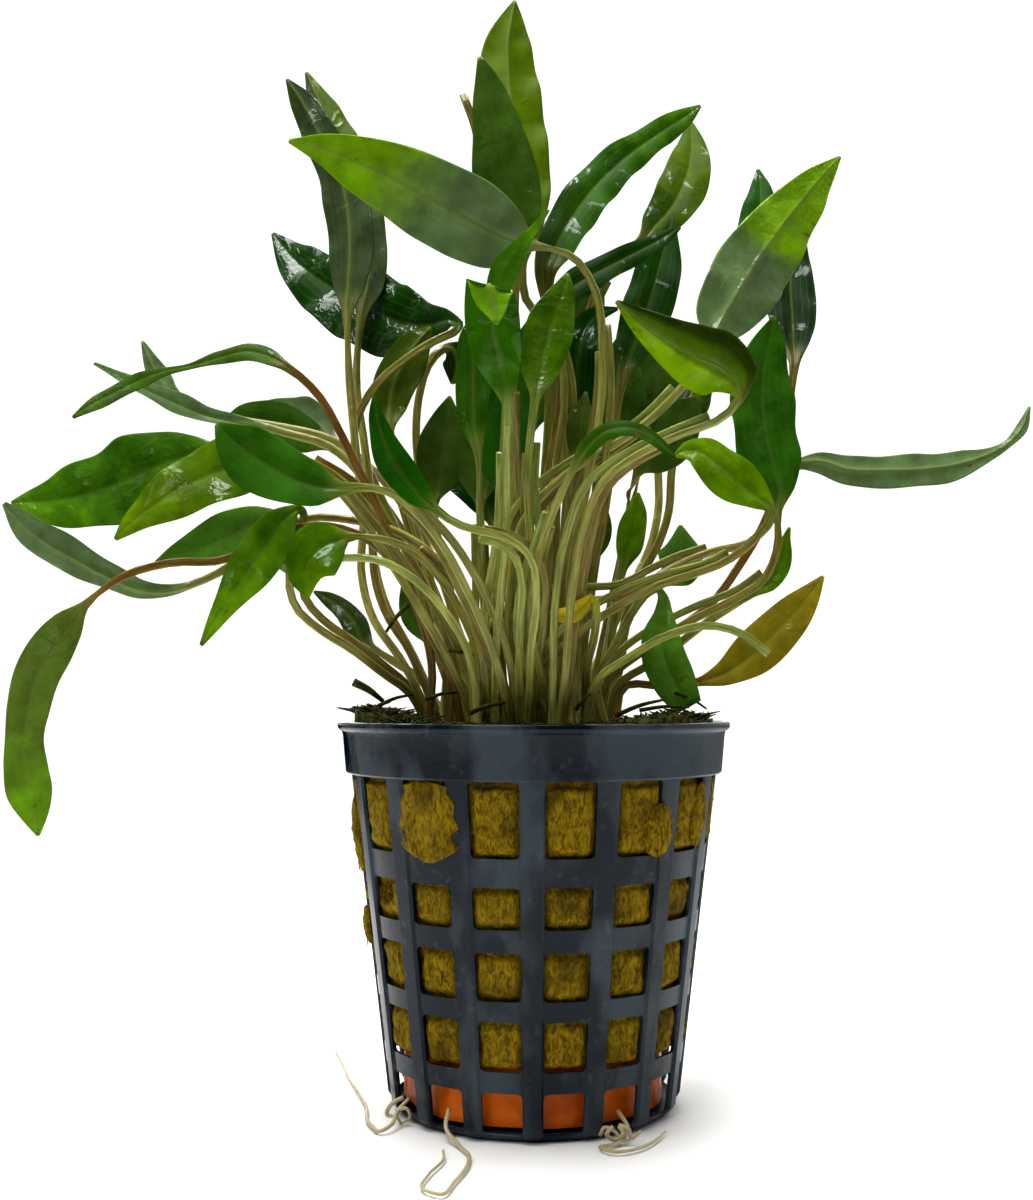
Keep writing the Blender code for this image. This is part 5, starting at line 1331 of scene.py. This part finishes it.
def frond(chance):
    """A small tapering frond of moss, leaning any way."""
    radius = (MOSS_R - 0.8) * math.sqrt(chance.uniform(0.12, 1))
    turn = chance.uniform(0, 2 * math.pi)
    x, y, _ = around(radius, 0, turn)
    ground = crust_height(x, y) - 0.2
    length = chance.uniform(0.4, 1.0) * (1.9 if x < TALL_LEFT or x > TALL_RIGHT else 1.0)
    lean = np.array((chance.gauss(0, 0.8), chance.gauss(0, 0.8), 0.8))
    bend = np.array((chance.gauss(0, 0.5), chance.gauss(0, 0.5), -0.2))
    path = [np.array((x, y, ground)) + length * (t * lean + t * t * bend) for t in (0, 0.5, 1)]
    return tube(path, (0.12, 0.16, 0.06), sides=4, step=0.5)


crust_faces = [[i + 1 for i in face] for face in grid_faces(*CRUST_STEPS)]
crust_faces += [[0, 2 + i, 1 + i] for i in range(CRUST_STEPS[1] - 1)]
crust_faces.append([0, 1, CRUST_STEPS[1]])
last_row = 1 + (CRUST_STEPS[0] - 1) * CRUST_STEPS[1]
crust_faces.append([last_row + i for i in range(CRUST_STEPS[1])])
add_piece("moss_crust", crust_points(), crust_faces, moss_finish, ["moss_litter"])
gather("moss_fronds", bare(frond(chance) for _ in range(FRONDS)), moss_finish)
print("crust faces", len(crust_faces), "fronds", FRONDS)

# %% [markdown]
# Bits of old stalk and root lie on the moss or hang between the stalks. Each is a short
# bent tube between two marks on the line of sight.

# %% Litter
# (across, up) where it starts and ends as seen, how deep it lies, and its radius
LITTER = (
    ((-15.3, 55.5), (-10.7, 56.5), -14, 0.3), ((11.5, 53.2), (18.5, 55.5), -17, 0.35),
    ((6, 54), (8, 56.3), -18, 0.3), ((-12, 62.5), (-6.5, 61), -12, 0.3),
    ((-17.8, 69), (-21.3, 64.5), -6, 0.35), ((-25.5, 58), (-21.3, 55.3), -8, 0.6),
    ((-22, 54.6), (-17, 56.2), -10, 0.3), ((15, 54), (22, 54.4), -14, 0.3),
    ((-9, 53.6), (-4, 55), -19, 0.35), ((20, 56.5), (24.5, 54.2), -8, 0.25),
)


def litter_bit(start, end, depth, radius):
    low, high = seen(*start, depth), seen(*end, depth + 1)
    middle = (low + high) / 2 + (0, -0.4, 0.3)
    return tube((low, middle, high), (radius, 0.8 * radius, 0.5 * radius), sides=7)


gather("litter", bare(litter_bit(*bit) for bit in LITTER), moss_finish)
print("bits of litter", len(LITTER))

# %% [markdown]
# ## Roots
# Three fine cream roots have grown out through the slots and lie on the table. The solids
# give their paths: the middles of their rings. A thin smooth strand with a slightly
# uneven thickness follows each, pale and waxy.

# %% Root finish and meshes
ROOT_PALE, ROOT_TAN = 0xCDC6A6, 0x9C8656
ROOT_SIDES = 5  # corners of a root solid's rings
FINER = 0.75  # a root's thickness as a share of its solid's


def root_skin(tree):
    """Waxy living root: IOR 1.42, roughness 0.45, tan in patches."""
    place = add_node(tree, "TexCoord").outputs["Object"]
    stain = add_node(tree, "TexNoise", {"Scale": per_mm(4), "Detail": 3.0}, {"Vector": place})
    colour = add_node(tree, "Mix", {"data_type": "RGBA", COLOUR_A: linear(ROOT_PALE),
                                    COLOUR_B: linear(ROOT_TAN)}, {0: stain})
    return add_node(tree, "BsdfPrincipled", {"Roughness": 0.45, "IOR": 1.42},
                    {"Base Color": colour})


def root_strand(node):
    """A strand through the middles of a root solid's rings."""
    points = {tuple(np.round(np.array(v.co) / MM, 3)) for v in frame["nodes"][node].data.vertices}
    top_ring = set(sorted(points, key=lambda point: -point[2])[:ROOT_SIDES])
    rings = rings_of(node, lambda point: tuple(point) in top_ring)
    middles = [ring.mean(0) for ring in rings]
    girths = [FINER * np.linalg.norm(ring - ring.mean(0), axis=1).mean() for ring in rings]
    return tube(middles, girths, sides=10, step=0.5)


root_finish = new_material("root_skin", root_skin)
for node in ("root_left", "root_loop", "root_coil"):
    strand = root_strand(node)
    gather("fine_" + node, bare([strand]), root_finish, [node])
    print(node, len(strand), "rings")

# %% [markdown]
# Small curls of the same root hang at two of the slots.

# %% Rootlets
# (depth, radius, then the (across, up) marks it passes as seen)
CURLS = (
    (-11, 0.28, (-18.1, 0.4), (-19.9, -0.7), (-20.4, -2.0), (-19.0, -2.4), (-18.3, -3.5)),
    (-12, 0.22, (-19.2, -1.4), (-17.6, -1.2), (-17.2, -2.4), (-18.4, -3.2)),
    (-20, 0.3, (11.0, -3.6), (10.1, -4.6), (11.2, -5.4), (12.4, -4.4), (11.8, -3.5),
     (13.2, -4.0), (13.5, -5.2), (14.9, -4.2)),
    (-20, 0.24, (9.2, -4.8), (9.8, -3.7), (11.1, -4.2), (12.6, -5.5), (14.0, -5.0)),
)


def curl(depth, radius, *marks):
    """A curl of root. Every second mark lies a little further forward, so it doesn't cross."""
    path = [seen(*mark, depth - 0.3 * (number % 2)) for number, mark in enumerate(marks)]
    return tube(path, (radius, radius, 0.6 * radius), sides=8, step=0.4)


gather("rootlets", bare(curl(*form) for form in CURLS), root_finish)
print("curls", len(CURLS))

# %% [markdown]
# ## The setting
# The plant stands on a wide pale table under soft studio light. A large soft box hangs above
# it, a second one stands behind and lets light come through the leaves, and a weaker one
# fills the front. The surroundings are pale too, brighter at the back than in front.

# %% Table, light and surroundings
TABLE_TONE = 0xF4F4F2
TABLE_R, TABLE_Z = 6000, -0.05  # the table lies just below the pot
SURROUND = 0.95  # how bright the far surroundings look
PLANT_MIDDLE = (0, 0, 80)


def pale_table(tree):
    """Satin white board that fades into the surroundings further out."""
    place = add_node(tree, "TexCoord").outputs["Object"]
    grain = add_node(tree, "TexNoise", {"Scale": per_mm(30), "Detail": 3.0}, {"Vector": place})
    gloss = add_node(tree, "MapRange", {"To Min": 0.6, "To Max": 0.75}, {"Value": grain})
    board = add_node(tree, "BsdfPrincipled", {"Base Color": linear(TABLE_TONE)},
                     {"Roughness": gloss})
    far = add_node(tree, "VectorMath", {"operation": "LENGTH"}, {0: place})
    fading = add_node(tree, "MapRange", {"interpolation_type": "SMOOTHSTEP",
                                         "From Min": 0.1, "From Max": 0.45}, {"Value": far})
    seen_directly = add_node(tree, "LightPath").outputs["Is Camera Ray"]
    glow = add_node(tree, "Math", {"operation": "MULTIPLY", 1: SURROUND}, {0: seen_directly})
    haze = add_node(tree, "Emission", {}, {"Strength": glow})
    return add_node(tree, "MixShader", {}, {0: fading, 1: board, 2: haze})


table_mesh = bpy.data.meshes.new("table")
rim = [around(TABLE_R * MM, TABLE_Z * MM, 2 * math.pi * k / 96) for k in range(96)]
table_mesh.from_pydata(rim, [], [range(96)])
table_mesh.materials.append(new_material("pale_table", pale_table))
table = bpy.data.objects.new("table", table_mesh)
bpy.context.scene.collection.objects.link(table)
table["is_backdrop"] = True


def soft_box(name, place, aim, size, power):
    """A square area lamp in mm, turned towards a point."""
    data = bpy.data.lights.new(name, "AREA")
    data.shape = "RECTANGLE"
    data.size, data.size_y = size[0] * MM, size[1] * MM
    data.energy = power
    lamp = bpy.data.objects.new(name, data)
    lamp.location = Vector(place) * MM
    lamp.rotation_euler = (Vector(aim) - Vector(place)).to_track_quat("-Z", "Y").to_euler()
    bpy.context.scene.collection.objects.link(lamp)


soft_box("overhead", (-80, 0, 620), PLANT_MIDDLE, (420, 300), 5.0)
soft_box("behind", (60, 640, 330), PLANT_MIDDLE, (700, 460), 2.6)
soft_box("front_fill", (-300, -600, 620), PLANT_MIDDLE, (260, 260), 1.2)

world = bpy.data.worlds.new("pale_surroundings")
bpy.context.scene.world = world
world.use_nodes = True
tree = world.node_tree
tree.nodes.clear()
heading = add_node(tree, "TexCoord").outputs["Generated"]
towards = add_node(tree, "VectorMath", {"operation": "DOT_PRODUCT", 1: (0, 0.8, 0.6)},
                   {0: heading})
back_to_front = add_node(tree, "MapRange", {"From Min": -0.3, "From Max": 0.8, "To Min": 0.02,
                                            "To Max": 0.85}, {"Value": towards})
seen_directly = add_node(tree, "LightPath").outputs["Is Camera Ray"]
strength = add_node(tree, "Mix", {3: SURROUND}, {0: seen_directly, 2: back_to_front})
glow = add_node(tree, "Background", {"Color": (1, 1, 1, 1)}, {"Strength": strength})
add_node(tree, "OutputWorld", {}, {"Surface": glow})
bpy.context.scene.view_settings.view_transform = "Standard"
bpy.context.scene.view_settings.look = "Medium High Contrast"
print("lamps", len(bpy.data.lights))

# %% [markdown]
# The space that the solids take up and the space that the finer pieces take up are printed
# side by side.

# %% Sizes and finish
shown_low, shown_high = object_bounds()
sizes = {"cad": [list(cad_low), list(cad_high)], "shown": [list(shown_low), list(shown_high)]}
for word, corners in sizes.items():
    print(word, [[round(c / MM, 1) for c in corner] for corner in corners])
